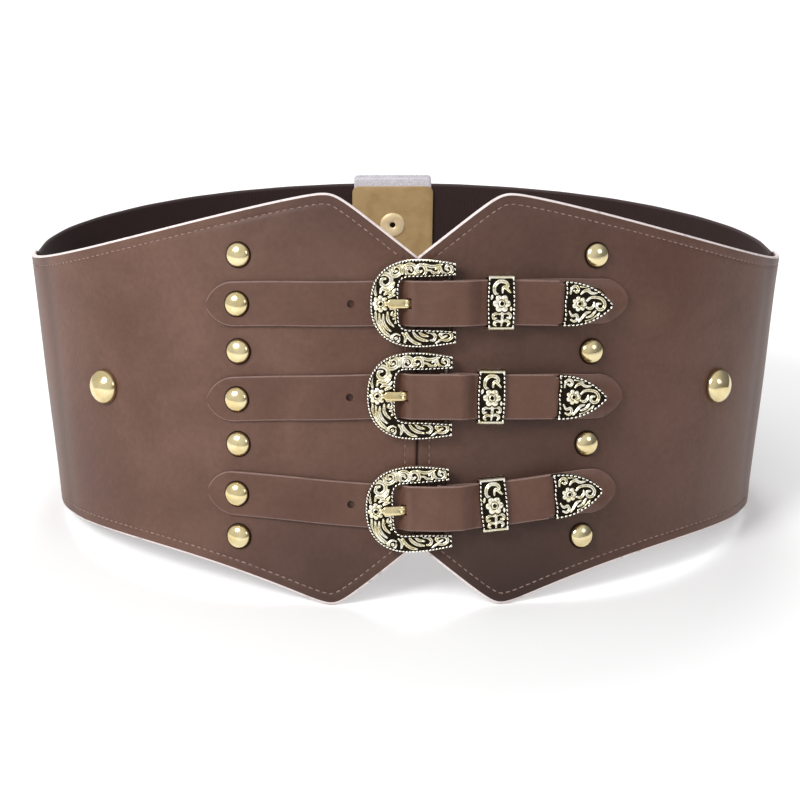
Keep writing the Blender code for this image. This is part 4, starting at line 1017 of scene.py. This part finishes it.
def addStroke(height, x, y, path, half):
    near = ((x > path[:, 0].min() - half) & (x < path[:, 0].max() + half)
            & (y > path[:, 1].min() - half) & (y < path[:, 1].max() + half))
    if not near.any():
        return
    apart = np.hypot(x[near][:, None] - path[:, 0], y[near][:, None] - path[:, 1])
    which = apart.argmin(1)
    distance = apart[np.arange(len(which)), which]
    width = half * (0.45 + 0.55 * np.sin(np.pi * np.clip(which / (len(path) - 1) * 0.86 + 0.07, 0, 1)))
    crown = np.sqrt(np.clip(1.0 - (distance / width) ** 2, 0.0, 1.0)) ** 0.8
    # a groove along the middle of the wider strokes
    crown = crown - 0.95 * np.exp(-(distance / 0.16) ** 2) * np.clip((width - 0.45) / 0.15, 0, 1)
    height[near] = np.maximum(height[near], crown)


def addFlower(height, x, y, cx, cy, radius, petals, hole):
    tall = 1.15
    dx, dy = x - cx, y - cy
    reach, angle = np.hypot(dx, dy), np.arctan2(dy, dx)
    lobe = np.abs(np.cos(petals * angle / 2))
    limit = radius * (0.74 + 0.26 * lobe ** 0.7)
    inside = reach < limit
    share = np.clip(reach / limit, 0.0, 1.0)
    crown = tall * (1.0 - share ** 5) * (0.42 + 0.58 * lobe ** 0.6)
    button = reach < radius * 0.36
    crown = np.where(button, tall * 1.12 * np.sqrt(np.clip(1.0 - (reach / (radius * 0.38)) ** 4, 0, 1)),
                     crown)
    crown = np.where((reach > radius * 0.36) & (reach < radius * 0.45), 0.18, crown)
    crown = np.where(reach < hole, 0.02, crown)
    height[inside] = crown[inside]
    moat = (reach >= limit) & (reach < limit + 0.35)
    height[moat] = np.minimum(height[moat], 0.05)


buckleRelief = {
    "bold": 1.48, "strokes": (
        # upper bow and arm
        ([(-15.6, 3.6), (-16.1, 6.6), (-15.6, 9.6), (-13.9, 11.9), (-11.3, 12.4), (-9.2, 10.9),
          (-9.4, 8.4), (-11.4, 7.2), (-13.2, 8.3), (-13.0, 10.1), (-11.6, 10.4)], 0.66),
        ([(-13.7, 4.4), (-13.0, 6.2), (-10.6, 5.6), (-8.7, 6.9), (-7.9, 8.7)], 0.55),
        ([(-12.0, 3.7), (-10.9, 4.5), (-8.9, 4.4), (-7.4, 6.0)], 0.50),
        ([(-10.7, 2.3), (-9.3, 3.1), (-7.6, 3.5)], 0.48),
        ([(-12.6, 13.6), (-10.6, 14.4), (-9.2, 13.4), (-8.8, 11.9), (-7.3, 11.5), (-5.3, 12.7),
          (-5.3, 14.9), (-7.0, 15.7), (-8.2, 14.6), (-7.6, 13.4), (-6.7, 13.6)], 0.58),
        ([(-10.0, 15.9), (-7.8, 16.9), (-5.2, 16.6), (-3.8, 15.2)], 0.50),
        ([(-4.4, 12.4), (-3.9, 15.0), (-1.7, 16.4), (0.7, 15.5), (1.1, 13.2), (-0.5, 11.7),
          (-2.6, 12.4), (-2.7, 14.2), (-1.3, 14.8), (-0.6, 13.7)], 0.60),
        ([(1.9, 11.8), (4.3, 11.7), (5.4, 13.5), (4.4, 15.7), (2.4, 15.8), (1.6, 14.3),
          (2.5, 13.1), (3.7, 13.6)], 0.56),
        ([(4.6, 16.4), (7.2, 15.4), (9.6, 15.5), (12.6, 16.6)], 0.54),
        ([(5.9, 13.9), (7.4, 13.6), (8.5, 12.7), (10.4, 12.7), (11.0, 13.9), (10.1, 14.7),
          (9.3, 14.1)], 0.46),
        ([(11.4, 15.4), (12.2, 13.0), (14.4, 12.1), (16.2, 13.3), (16.0, 15.1), (14.4, 15.8),
          (13.6, 14.5), (14.6, 13.8)], 0.54),
        # lower bow and arm
        ([(-15.5, -3.4), (-15.5, -7.2), (-14.1, -11.0), (-11.3, -14.3), (-8.2, -16.3),
          (-5.0, -17.1)], 0.56),
        ([(-14.1, -4.4), (-13.9, -7.6), (-12.6, -10.8), (-10.3, -13.2), (-8.6, -14.2)], 0.52),
        ([(-12.4, -4.6), (-12.5, -7.4), (-11.3, -9.8), (-9.4, -11.5)], 0.50),
        ([(-10.6, -3.6), (-10.7, -6.0), (-9.9, -7.9), (-8.2, -9.5)], 0.50),
        ([(-9.6, -2.2), (-8.0, -2.2), (-7.0, -3.4), (-7.7, -4.8), (-9.0, -4.6), (-8.6, -3.5)], 0.44),
        ([(-8.4, -6.4), (-7.2, -6.2), (-7.0, -7.6), (-7.6, -8.2)], 0.42),
        (curl(-7.2, -14.6, 2.0, 40, 330, 0.75), 0.42),
        ([(-7.0, -14.6), (-7.3, -14.5)], 0.75),
        ([(-4.6, -12.2), (-3.2, -13.9), (-3.6, -16.2)], 0.50),
        ([(-3.0, -11.9), (-1.9, -14.2), (0.4, -16.2), (3.0, -17.0)], 0.54),
        ([(-0.2, -11.8), (1.1, -13.6), (3.4, -15.0), (6.0, -15.6)], 0.54),
        ([(2.4, -11.9), (4.0, -13.2), (6.2, -13.7)], 0.48),
        ([(5.8, -12.0), (7.6, -12.2), (9.2, -13.6), (8.6, -15.2), (7.2, -15.4)], 0.50),
        ([(9.4, -16.6), (11.6, -15.2), (14.0, -15.4), (16.0, -14.2), (15.4, -12.4), (13.0, -12.0),
          (11.2, -13.0), (12.2, -14.1), (13.9, -13.6)], 0.52),
    ),
    "flowers": ((-13.6, -0.1, 3.75, 8, 0.75),),
}
keeperRelief = {
    "bold": 1.36, "strokes": (
        ([(-0.3, 2.9), (-2.7, 4.2), (-2.9, 6.8), (-1.0, 8.9), (1.6, 8.7), (2.8, 7.2),
          (1.8, 6.0)], 0.62),
        ([(0.5, 4.3), (0.6, 6.0), (1.6, 6.7), (2.8, 5.4), (3.8, 4.4)], 0.50),
        ([(0.3, -3.2), (0.5, -5.2), (0.3, -7.6), (0.1, -9.6)], 0.44),
        ([(0.4, -5.0), (-1.4, -4.4), (-3.3, -5.0), (-3.2, -6.6), (-2.1, -6.3)], 0.46),
        ([(0.4, -4.8), (2.2, -4.2), (3.8, -4.9), (3.6, -6.4), (2.5, -6.2)], 0.46),
        ([(0.2, -8.2), (-1.6, -7.6), (-3.0, -8.6), (-2.2, -9.6)], 0.46),
        ([(0.2, -8.0), (2.0, -7.4), (3.4, -8.4), (2.6, -9.6)], 0.46),
        ([(-3.8, 3.2), (-4.2, 1.6)], 0.42), ([(4.2, -1.9), (4.2, -3.2)], 0.42),
    ),
    "flowers": ((0.2, -0.3, 4.0, 6, 0.85),),
}
tipRelief = {
    "bold": 1.38, "strokes": (
        ([(-1.0, 1.4), (0.6, 2.9), (3.0, 3.2), (5.6, 2.6), (7.0, 0.8), (6.6, -1.2), (4.9, -1.9),
          (3.6, -0.8), (4.0, 0.6), (5.2, 0.6)], 0.56),
        ([(-1.2, -1.0), (0.6, -1.6), (2.0, -0.6), (2.4, 1.0)], 0.48),
        ([(-8.2, 4.4), (-7.8, 6.6), (-6.2, 7.5), (-4.9, 6.4), (-5.6, 5.1), (-6.8, 5.6)], 0.50),
        ([(-3.6, 4.4), (-2.4, 5.6), (-0.8, 5.9), (1.0, 4.9), (3.2, 5.0)], 0.50),
        ([(-4.0, 7.4), (-1.6, 7.5), (0.8, 6.9), (2.8, 6.6)], 0.44),
        ([(-8.2, -3.2), (-7.0, -4.9), (-5.2, -4.6), (-4.6, -6.2), (-6.0, -7.2), (-7.4, -6.6)], 0.50),
        ([(-3.9, -7.3), (-2.6, -5.6), (-0.9, -3.6), (0.8, -3.0)], 0.48),
        ([(-0.8, -7.0), (1.6, -6.4), (3.6, -4.9), (4.8, -3.4)], 0.50),
        ([(-0.6, -5.4), (1.4, -4.6), (2.6, -3.2), (3.2, -2.4)], 0.44),
    ),
    "flowers": ((-4.1, 0.2, 3.4, 7, 0.7),),
}


def reliefHeight(x, y, design):
    height = np.zeros(x.shape)
    for line, half in design["strokes"]:
        path = flowing(line) if isinstance(line, list) else line
        addStroke(height, x, y, path, half * design["bold"])
    for flower in design["flowers"]:
        addFlower(height, x, y, *flower)
    return height


def squaredRound(angle, squareness):
    cosine = np.sign(np.cos(angle)) * np.abs(np.cos(angle)) ** (2 / squareness)
    sine = np.sign(np.sin(angle)) * np.abs(np.sin(angle)) ** (2 / squareness)
    return cosine, sine


def frameStation(share):
    halfLength, halfHeight, armShare = buckle["length"] / 2, buckle["height"] / 2, buckle["armShare"]
    bend = 0.002                # where the arms turn into the bow
    along = np.minimum(share, 1.0 - share) / armShare
    sign = np.where(share < 0.5, 1.0, -1.0)
    swell = np.sin(np.clip(along, 0, 1) * math.pi / 2)
    outerEnd = buckle["openEnd"] + buckle["armEnd"]
    armX = halfLength + (bend - halfLength) * along
    armOuter = sign * (outerEnd + (halfHeight - outerEnd) * swell)
    armInner = sign * (buckle["openEnd"] + (buckle["openHalf"] - buckle["openEnd"]) * swell)
    angle = math.pi / 2 + math.pi * (share - armShare) / (1.0 - 2 * armShare)
    outer, inner = squaredRound(angle, buckle["outerSquare"]), squaredRound(angle, buckle["innerSquare"])
    arm = (share < armShare) | (share > 1 - armShare)
    outerX = np.where(arm, armX, bend + (halfLength + bend) * outer[0])
    outerY = np.where(arm, armOuter, halfHeight * outer[1])
    innerX = np.where(arm, armX, bend + (bend - bowInner) * inner[0])
    innerY = np.where(arm, armInner, buckle["openHalf"] * inner[1])
    return np.stack((outerX, outerY), -1), np.stack((innerX, innerY), -1)


reliefDepth = 0.00055
rim = {"wide": 0.78, "low": 0.02, "beadIn": 0.42, "beadLift": 0.00022,
       "inner": (0.00165, 0.00152, 0.00076, 0.00080, 0.25),
       "outer": (0.00140, 0.00138, 0.00080, 0.00085, 0.25)}


def rimmed(height, distance):
    # a low rounded border under the beads, a dark channel beside it; distance in millimetres
    border = rim["low"] + 0.05 * np.sqrt(np.clip(1 - ((distance - rim["beadIn"]) / 0.5) ** 2, 0, 1))
    height = np.where(distance < rim["wide"] + 0.30, np.minimum(height, 0.0), height)
    return np.where(distance < rim["wide"], np.maximum(height, border), height)


def evenShares(count):
    share = np.linspace(0.0, 1.0, 4000)
    outer, inner = frameStation(share)
    steps = np.hypot(*np.diff(outer * 0.6 + inner * 0.4, axis=0).T)
    length = np.concatenate([[0.0], np.cumsum(steps)])
    return np.interp(np.linspace(0, length[-1], count), length, share)


def buckleFace():
    share = evenShares(buckle["columns"])
    outer, inner = frameStation(share)
    even = np.linspace(0, 1, buckle["across"])
    across = (1 - np.cos(np.linspace(0.0, math.pi, buckle["across"]))) / 2 * 0.25 + even * 0.75
    flat = outer[:, None] + (inner - outer)[:, None] * across[None, :, None]
    width = np.linalg.norm(inner - outer, axis=1)[:, None]
    distance = np.minimum(across[None] * width, (1 - across[None]) * width) / mm
    ends = (buckle["length"] / 2 - flat[..., 0]) / mm
    onArm = (share < buckle["armShare"]) | (share > 1 - buckle["armShare"])
    distance = np.where(onArm[:, None], np.minimum(distance, ends), distance)
    x, y = flat[..., 0].ravel() / mm, flat[..., 1].ravel() / mm
    height = reliefHeight(x, y, buckleRelief).reshape(distance.shape)
    height = rimmed(height, distance)
    half = buckle["thick"] / 2
    soft = 0.35 * np.clip(1 - distance / 0.30, 0, 1) ** 2 * mm
    z = half + height * reliefDepth - soft
    top = np.concatenate([flat, z[..., None]], -1)

    def wall(points, level):
        return np.concatenate([points, np.full((len(points), 1), level)], 1)[:, None]

    rings = np.concatenate([wall(outer, -half + 0.0003), top, wall(inner, -half + 0.0003),
                            wall(inner + (outer - inner) * 0.04, -half),
                            wall(outer + (inner - outer) * 0.04, -half)], 1)
    lit = np.clip(height, 0, 1)
    lit = np.where(distance < 0.10, 0.6, lit)
    full = np.ones((len(share), 1))
    relief = np.concatenate([full * 0.7, lit, full * 0.7, full * 0.6, full * 0.6], 1)
    return rings, relief


faceRings, faceRelief = buckleFace()


def edgeBeads(matrix, outline, inwardTo, inset, level):
    # a bead path on a border, set in from the edge
    inward = inwardTo - outline
    inward = inward / np.linalg.norm(inward, axis=1, keepdims=True)
    flat = outline + inward * inset
    path = moved(np.column_stack((flat, np.full(len(flat), level))), matrix)
    out = np.tile(np.array(matrix)[:3, 2], (len(path), 1))
    return path, out


def barrel(matrix):
    # the bar between the arms' ends
    angle = np.linspace(0, 2 * math.pi, 16, endpoint=False)
    reach = buckle["openEnd"] + buckle["armEnd"] / 2
    rings = [np.column_stack((barX + buckle["barRadius"] * np.cos(angle), np.full(16, y),
                              buckle["barRadius"] * np.sin(angle))) for y in (-reach, 0.0, reach)]
    return loft("bar", moved(np.array(rings), matrix), {"relief": np.full((3, 16), 0.22)})


def buildBuckle(row):
    matrix = buckleMatrix(row)
    name = f"buckle_{row['row']}"
    face = loft(name, moved(faceRings, matrix), {"relief": faceRelief}, 60.0)
    mesh = joined(name, [face, barrel(matrix)], 60.0)
    piece(name, mesh, antiqueGold, [f"buckle_frame_{row['row']}"])
    outer, inner = frameStation(evenShares(260))
    level = buckle["thick"] / 2 + rim["beadLift"]
    inset = rim["beadIn"] * mm
    ends, endPaths = slice(3, -3), []
    insidePath = edgeBeads(matrix, inner[ends], outer[ends], inset, level)
    outsidePath = edgeBeads(matrix, outer[ends], inner[ends], inset, level)
    for index in (0, -1):                           # across the arms' ends
        line = outer[index] + (inner[index] - outer[index]) * np.linspace(0.10, 0.90, 12)[:, None]
        line = np.column_stack((line[:, 0] - inset, line[:, 1], np.full(12, level)))
        endPaths.append((moved(line, matrix), np.tile(np.array(matrix)[:3, 2], (12, 1))))
    parts = [rowMesh("ropeIn", [insidePath], rim["inner"], beadGold),
             rowMesh("ropeEnds", endPaths, rim["outer"], beadGold),
             rowMesh("ropeOut", [outsidePath], rim["outer"], beadGold)]
    name = f"rope_edge_{row['row']}"
    piece(name, joined(name, parts, 60.0), beadGold)


def buildProng(row):
    radius = buckle["barRadius"] + play + prong["thick"] / 2
    onBow = buckle["thick"] / 2 + 0.0006 + play + prong["thick"] / 2
    knots = [(barX + radius * math.cos(a), radius * math.sin(a))
             for a in np.radians(np.linspace(-150, 90, 13))]
    knots += [(bowInner + out, onBow * level) for out, level in prong["bend"]]
    knots.append((bowInner - prong["overBow"] + 0.0002, onBow))
    path = flowing(knots, 8)
    path = path[np.concatenate([[True], np.hypot(*np.diff(path, axis=0).T) > 1e-6])]
    forward = unit(np.gradient(path, axis=0))
    up = np.column_stack((forward[:, 1], -forward[:, 0]))
    left = np.concatenate([np.cumsum(np.hypot(*np.diff(path[::-1], axis=0).T))[::-1], [0.0]])
    angle = np.linspace(0, 2 * math.pi, 28, endpoint=False)
    cosine, sine = squaredRound(angle, 3.2)
    rings = []
    for (x, z), normal, rest in zip(path, up, left):
        narrow = 0.30 + 0.70 * math.sqrt(1 - (1 - min(rest / 0.0016, 1.0)) ** 2)
        thin = 0.55 + 0.45 * math.sqrt(1 - (1 - min(rest / 0.0012, 1.0)) ** 2)
        y = cosine * prong["width"] / 2 * narrow
        h = sine * prong["thick"] / 2 * thin
        slit = np.exp(-(y / 0.00022) ** 2) * math.exp(-((x - bowInner - 0.0030) / 0.0013) ** 2)
        h = h - np.where(sine > 0, 0.0004 * slit, 0.0)
        rings.append(np.column_stack((x + normal[0] * h, y, z + normal[1] * h)))
    name = f"prong_{row['row']}"
    mesh = loft(name, moved(np.array(rings), buckleMatrix(row)), smooth=50.0)
    piece(name, mesh, polishedGold, [f"buckle_prong_{row['row']}"])


def gridRings(x, y, height, top, back):
    # x, y, height: columns by across, in metres; closed below by a flat back
    columns, wallIn = x.shape[0], 0.0003
    face = np.stack((x, y, top + height), -1)

    def corner(side, level, inset):
        other = -1 - side
        px = x[:, side] + (x[:, other] - x[:, side]) * inset
        py = y[:, side] + (y[:, other] - y[:, side]) * inset
        return np.stack((px, py, np.full(columns, level)), -1)[:, None]

    return np.concatenate([corner(0, back + wallIn, 0.0), face, corner(-1, back + wallIn, 0.0),
                           corner(-1, back, 0.02), corner(0, back, 0.02)], 1)


def withWalls(values):
    side = np.full((values.shape[0], 1), 0.7)
    return np.concatenate([side, values, side, side, side], 1)


def buildKeeper(row):
    matrix = rowMatrix(row, row["keeperS"], keeper["length"] / 2)
    halfTop = strap["thick"] / 2 + play
    halfBack = halfTop + strap["thick"] + play
    innerHalf = strap["width"] / 2 + 3 * play
    outerHalf = innerHalf + keeper["side"]
    top, back = halfTop + keeper["front"], -halfBack - keeper["back"]
    y = np.linspace(-outerHalf, outerHalf, 124)
    length = keeper["length"] * (1.0 - 0.10 * (y / outerHalf) ** 2)
    u = np.linspace(-0.5, 0.5, 62)
    gx, gy = length[:, None] * u[None], np.repeat(y[:, None], len(u), 1)
    sideDistance = (0.5 - np.abs(u))[None] * length[:, None] / mm
    endDistance = np.repeat(((outerHalf - np.abs(y)) / mm)[:, None], len(u), 1)
    height = reliefHeight(gx.ravel() / mm, gy.ravel() / mm, keeperRelief).reshape(gx.shape)
    height = rimmed(height, sideDistance)
    bars = 1.05 * np.sqrt(np.clip(1 - ((endDistance - 0.75) / 0.75) ** 2, 0, 1))
    height = np.where(endDistance < 1.75, np.minimum(height, 0.0), height)
    height = np.where(endDistance < 1.5, bars, height)
    roundOff = 0.0011 * np.clip(1 - endDistance / 1.1, 0, 1) ** 2
    rings = gridRings(gx, gy, height * reliefDepth - roundOff, top, back)
    name = f"keeper_loop_{row['row']}"
    mesh = loft(name, moved(rings, matrix), {"relief": withWalls(np.clip(height, 0, 1))}, 60.0)
    reach = keeper["length"]
    mesh = carved(name, mesh, [(matrix, (-reach, -innerHalf, -halfBack, reach, innerHalf, halfTop))], 60.0)
    piece(name, mesh, antiqueGold, [f"keeper_{row['row']}"])
    inset = rim["beadIn"] * mm
    py = np.linspace(-outerHalf + 0.0017, outerHalf - 0.0017, 60)
    half = keeper["length"] / 2 * (1.0 - 0.10 * (py / outerHalf) ** 2) - inset
    paths = []
    for sign in (-1, 1):
        line = np.column_stack((sign * half, py, np.full(60, top + rim["beadLift"])))
        paths.append((moved(line, matrix), np.tile(np.array(matrix)[:3, 2], (60, 1))))
    mesh = rowMesh("beads", paths, (0.00167, 0.00150, 0.00088, 0.00085, 0.0), beadGold)
    piece(f"keeper_beads_{row['row']}", mesh, beadGold)


def mouthWave(y):
    # the scalloped edge of a tip's mouth
    return tip["wave"] * (1 - np.cos(4 * math.pi * y / strap["width"])) / 2


def tipHalf(share):
    share = np.clip(share, 0.0, 1.0)
    fall = (1.0 - share ** tip["spring"]) ** tip["draw"]
    return strap["width"] / 2 * (tip["point"] + (1.0 - tip["point"]) * fall)


def buildTip(row):
    matrix = rowMatrix(row, row["tipS"], tip["length"] / 2)
    pocket = strap["thick"] / 2 + 1.5 * play
    top, back = pocket + tip["front"], -pocket - tip["wall"]
    share = np.concatenate([np.linspace(0, 0.42, 58)[:-1],
                            0.42 + 0.58 * np.sin(np.linspace(0, math.pi / 2, 84))])
    u = np.linspace(-1, 1, 82)
    half = tipHalf(share)
    gy = half[:, None] * u[None]
    gx = tip["length"] * (share - 0.5)[:, None] + mouthWave(gy) * np.clip(1 - share / 0.3, 0, 1)[:, None]
    slope = np.abs(np.gradient(half, tip["length"] * share))
    steep = np.sqrt(1 + np.clip(slope, 0, 6) ** 2)
    sideDistance = (half[:, None] - np.abs(gy)) / steep[:, None] / mm
    startDistance = np.repeat((tip["length"] * share / mm)[:, None], len(u), 1)
    distance = np.minimum(sideDistance, startDistance)
    height = reliefHeight(gx.ravel() / mm, gy.ravel() / mm, tipRelief).reshape(gx.shape)
    height = rimmed(height, distance)
    soft = 0.0004 * np.clip(1 - distance / 0.4, 0, 1) ** 2
    rings = gridRings(gx, gy, height * reliefDepth - soft, top, back)
    name = f"tip_sheath_{row['row']}"
    mesh = loft(name, moved(rings, matrix), {"relief": withWalls(np.clip(height, 0, 1))}, 60.0)
    inner = strap["width"] / 2 - tip["wall"] - play
    mesh = carved(name, mesh, [(matrix, (-tip["length"], -inner, -pocket,
                                         -tip["length"] / 2 + tip["grip"] + 5 * play, inner, pocket))], 60.0)
    piece(name, mesh, antiqueGold, [f"strap_tip_{row['row']}"])
    inset = rim["beadIn"] * mm
    at = np.linspace(0.03, 0.985, 120)
    edge = tipHalf(at)
    slopeAt = np.gradient(edge, tip["length"] * at)
    nx, ny = slopeAt / np.hypot(1, slopeAt), 1 / np.hypot(1, slopeAt)
    level = top + rim["beadLift"]
    paths = []
    out = np.array(matrix)[:3, 2]
    for sign in (-1, 1):
        line = np.column_stack((tip["length"] * (at - 0.5) + nx * inset, sign * (edge - ny * inset),
                                np.full(120, level)))
        paths.append((moved(line, matrix), np.tile(out, (120, 1))))
    py = np.linspace(-strap["width"] / 2 + 0.0012, strap["width"] / 2 - 0.0012, 60)
    line = np.column_stack((-tip["length"] / 2 + inset + mouthWave(py), py, np.full(60, level)))
    paths.append((moved(line, matrix), np.tile(out, (60, 1))))
    mesh = rowMesh("beads", paths, (0.00172, 0.00158, 0.00084, 0.00080, 0.2), beadGold)
    piece(f"tip_beads_{row['row']}", mesh, beadGold)


for row in rows:
    buildBuckle(row)
    buildProng(row)
    buildKeeper(row)
    buildTip(row)
print("buckles, keepers and tips made")


# rivets and studs
def headProfile(radius, dome, cone=0.0, steps=20):
    profile = [(onAxis, -0.0004), (radius * 0.9, -0.0004), (radius * 0.97, -0.0003), (radius, 0.0)]
    for step in range(1, steps + 1):
        angle = math.pi / 2 * step / steps
        level = (1 - cone) * math.sin(angle) + cone * (step / steps)
        profile.append((max(radius * math.cos(angle), onAxis), 0.0002 + (dome - 0.0002) * level))
    return profile


def placesMesh(name, places):
    # marks (s, v, lift) with outward and along directions
    mesh = bpy.data.meshes.new(name)
    spots, outs, alongs = [], [], []
    for s, v, lift in places:
        along, _, out = directions(s, v)
        spots.append(wrap(s, v, lift).tolist())
        outs.append(out)
        alongs.append(along)
    mesh.from_pydata(spots, [], [])
    for key, values in (("out", outs), ("along", alongs)):
        layer = mesh.attributes.new(key, "FLOAT_VECTOR", "POINT")
        layer.data.foreach_set("vector", np.array(values, np.float32).ravel())
    return mesh


def headsAt(name, places, profile, sides, replaced=(), finish=polishedGold):
    head = shown(name + "_head", lathe(name + "_head", profile, Matrix.Identity(4), sides, 35.0), finish)
    mesh = grown(name, placesMesh(name, places), headAtPlaces, {"Head": head, "Material": finish})
    bpy.data.objects.remove(head, do_unlink=True)
    return piece(name, mesh, finish, replaced)


for side, name in bothSides:
    places = [(s, v, play + (onStrap if through else 0.0)) for s, v, through in rivetPlaces(side)]
    headsAt(f"rivets_{name}", places, headProfile(rivets["radius"], rivets["dome"]), rivets["sides"],
            [f"rivet_{name}_{letter}" for letter in "abcdefg"])
    # a thin dark ring just under each rivet head, a painted contact shadow round it
    shadowRing = [(onAxis, 0.0), (rivets["radius"] * 1.07, 0.0), (rivets["radius"] * 1.09, 0.00006),
            (rivets["radius"] * 0.9, 0.00012), (onAxis, 0.00012)]
    shadowRingPlaces = [(s, v, lift - play + 0.00003) for s, v, lift in places]
    headsAt(f"rivet_seats_{name}", shadowRingPlaces, shadowRing, rivets["sides"], (), antiqueGold)
    backs = [(s, v, -panels["thick"] - play - rivets["capThick"]) for s, v, _ in rivetPlaces(side)]
    backs.append((side * sideStuds["out"], sideStuds["up"], -panels["thick"] - play - rivets["capThick"]))
    cap = [(onAxis, 0.0), (rivets["capRadius"] * 0.7, 0.0), (rivets["capRadius"] * 0.93, 0.00012),
           (rivets["capRadius"], 0.0004), (rivets["capRadius"], rivets["capThick"]),
           (onAxis, rivets["capThick"])]
    headsAt(f"rivet_caps_{name}", backs, cap, 24)
    headsAt(f"stud_{name}", [(side * sideStuds["out"], sideStuds["up"], play)],
            headProfile(sideStuds["radius"], sideStuds["dome"], sideStuds["cone"], 28), sideStuds["sides"],
            [f"side_stud_{name}"])
print("rivets made")

# floor, light and camera
studio = {
    "floorColour": (0.94, 0.94, 0.94), "world": 0.80, "lightSide": (-0.62, -0.30, 0.72),
    "worldStops": ((0.0, (0.10, 0.10, 0.11)), (0.42, (0.34, 0.34, 0.36)),
                   (0.72, (0.92, 0.92, 0.92)), (1.0, (1.0, 1.0, 1.0))),
    "lights": (  # place, aimed at, size, watts
        ((-0.95, -0.90, 1.15), (-0.05, -0.05, 0.10), 0.70, 17.0),
        ((1.10, -1.00, 0.90), (0.0, -0.05, 0.08), 0.50, 2.2),
        ((0.1, 1.10, 1.20), (0.0, 0.05, 0.10), 0.80, 11.0),
    ),
}
cameraSet = {"distance": 0.9962, "elevation": 21.0, "azimuth": 2.5, "roll": 0.85, "focal": 2100.0,
             "middle": (406.4, 371.0), "image": 800.0, "sensor": 36.0}


def buildFloor():
    shade = Shade("paleFloor", Roughness=0.75, Specular_IOR_Level=0.2)
    where = shade.place()
    tone = shade.noise(where, 3.0, 2.0)
    colour = shade.mix(tone, studio["floorColour"], (0.95, 0.95, 0.95))
    material = shade.done(Base_Color=colour)
    bm = bmesh.new()
    bmesh.ops.create_grid(bm, x_segments=1, y_segments=1, size=6.0)
    floor = shown("floor", meshFromBm(bm, "floor"), material)


def buildLights():
    for index, (place, aim, size, watts) in enumerate(studio["lights"]):
        lamp = bpy.data.lights.new(f"softbox_{index}", "AREA")
        lamp.shape = "DISK"
        lamp.size = size
        lamp.energy = watts
        holder = bpy.data.objects.new(f"softbox_{index}", lamp)
        holder.location = place
        holder.rotation_euler = (Vector(aim) - Vector(place)).to_track_quat("-Z", "Y").to_euler()
        bpy.context.scene.collection.objects.link(holder)
    world = bpy.data.worlds.new("studio")
    world.use_nodes = True
    bpy.context.scene.world = world
    nodes, links = world.node_tree.nodes, world.node_tree.links
    background, output = nodes["Background"], nodes["World Output"]
    background.inputs["Strength"].default_value = studio["world"]
    coords = nodes.new("ShaderNodeTexCoord")
    facing = nodes.new("ShaderNodeVectorMath")
    facing.operation = "DOT_PRODUCT"
    facing.inputs[1].default_value = studio["lightSide"]
    spread = nodes.new("ShaderNodeMapRange")
    spread.inputs["From Min"].default_value = -1.0
    ramp = nodes.new("ShaderNodeValToRGB")
    stops = ramp.color_ramp.elements
    while len(stops) < len(studio["worldStops"]):
        stops.new(0.5)
    for stop, (place, colour) in zip(stops, studio["worldStops"]):
        stop.position, stop.color = place, (*colour, 1.0)
    white = nodes.new("ShaderNodeBackground")        # the plain backdrop behind the belt
    white.inputs["Color"].default_value = (1.0, 1.0, 1.0, 1.0)
    seen = nodes.new("ShaderNodeLightPath")
    choice = nodes.new("ShaderNodeMixShader")
    links.new(coords.outputs["Generated"], facing.inputs[0])
    links.new(facing.outputs["Value"], spread.inputs["Value"])
    links.new(spread.outputs[0], ramp.inputs[0])
    links.new(ramp.outputs[0], background.inputs["Color"])
    links.new(seen.outputs["Is Camera Ray"], choice.inputs[0])
    links.new(background.outputs[0], choice.inputs[1])
    links.new(white.outputs[0], choice.inputs[2])
    links.new(choice.outputs[0], output.inputs["Surface"])


def buildCamera():
    e, az, roll = (math.radians(cameraSet[key]) for key in ("elevation", "azimuth", "roll"))
    forward = Vector((math.sin(az) * math.cos(e), math.cos(az) * math.cos(e), -math.sin(e)))
    right = Vector((math.cos(az), -math.sin(az), 0.0))
    up = right.cross(forward)
    place = Vector(loop["centre"]) - forward * cameraSet["distance"]
    rightR = right * math.cos(roll) + up * math.sin(roll)
    upR = up * math.cos(roll) - right * math.sin(roll)
    focal, half = cameraSet["focal"], cameraSet["image"] / 2
    offX, offY = (cameraSet["middle"][0] - half) / focal, (half - cameraSet["middle"][1]) / focal
    forward = (forward - rightR * offX - upR * offY).normalized()
    rightR = (rightR - forward * rightR.dot(forward)).normalized()
    upR = rightR.cross(forward)
    camera = bpy.data.cameras.new("camera")
    camera.sensor_width = cameraSet["sensor"]
    camera.lens = focal / cameraSet["image"] * cameraSet["sensor"]
    camera.clip_start, camera.clip_end = 0.01, 50.0
    holder = bpy.data.objects.new("camera", camera)
    holder.matrix_world = Matrix.Translation(place) @ Matrix((rightR, upR, -forward)).transposed().to_4x4()
    bpy.context.scene.collection.objects.link(holder)
    bpy.context.scene.camera = holder


buildFloor()
buildLights()
buildCamera()
bpy.context.scene.view_settings.view_transform = "Standard"


print("scene ready")
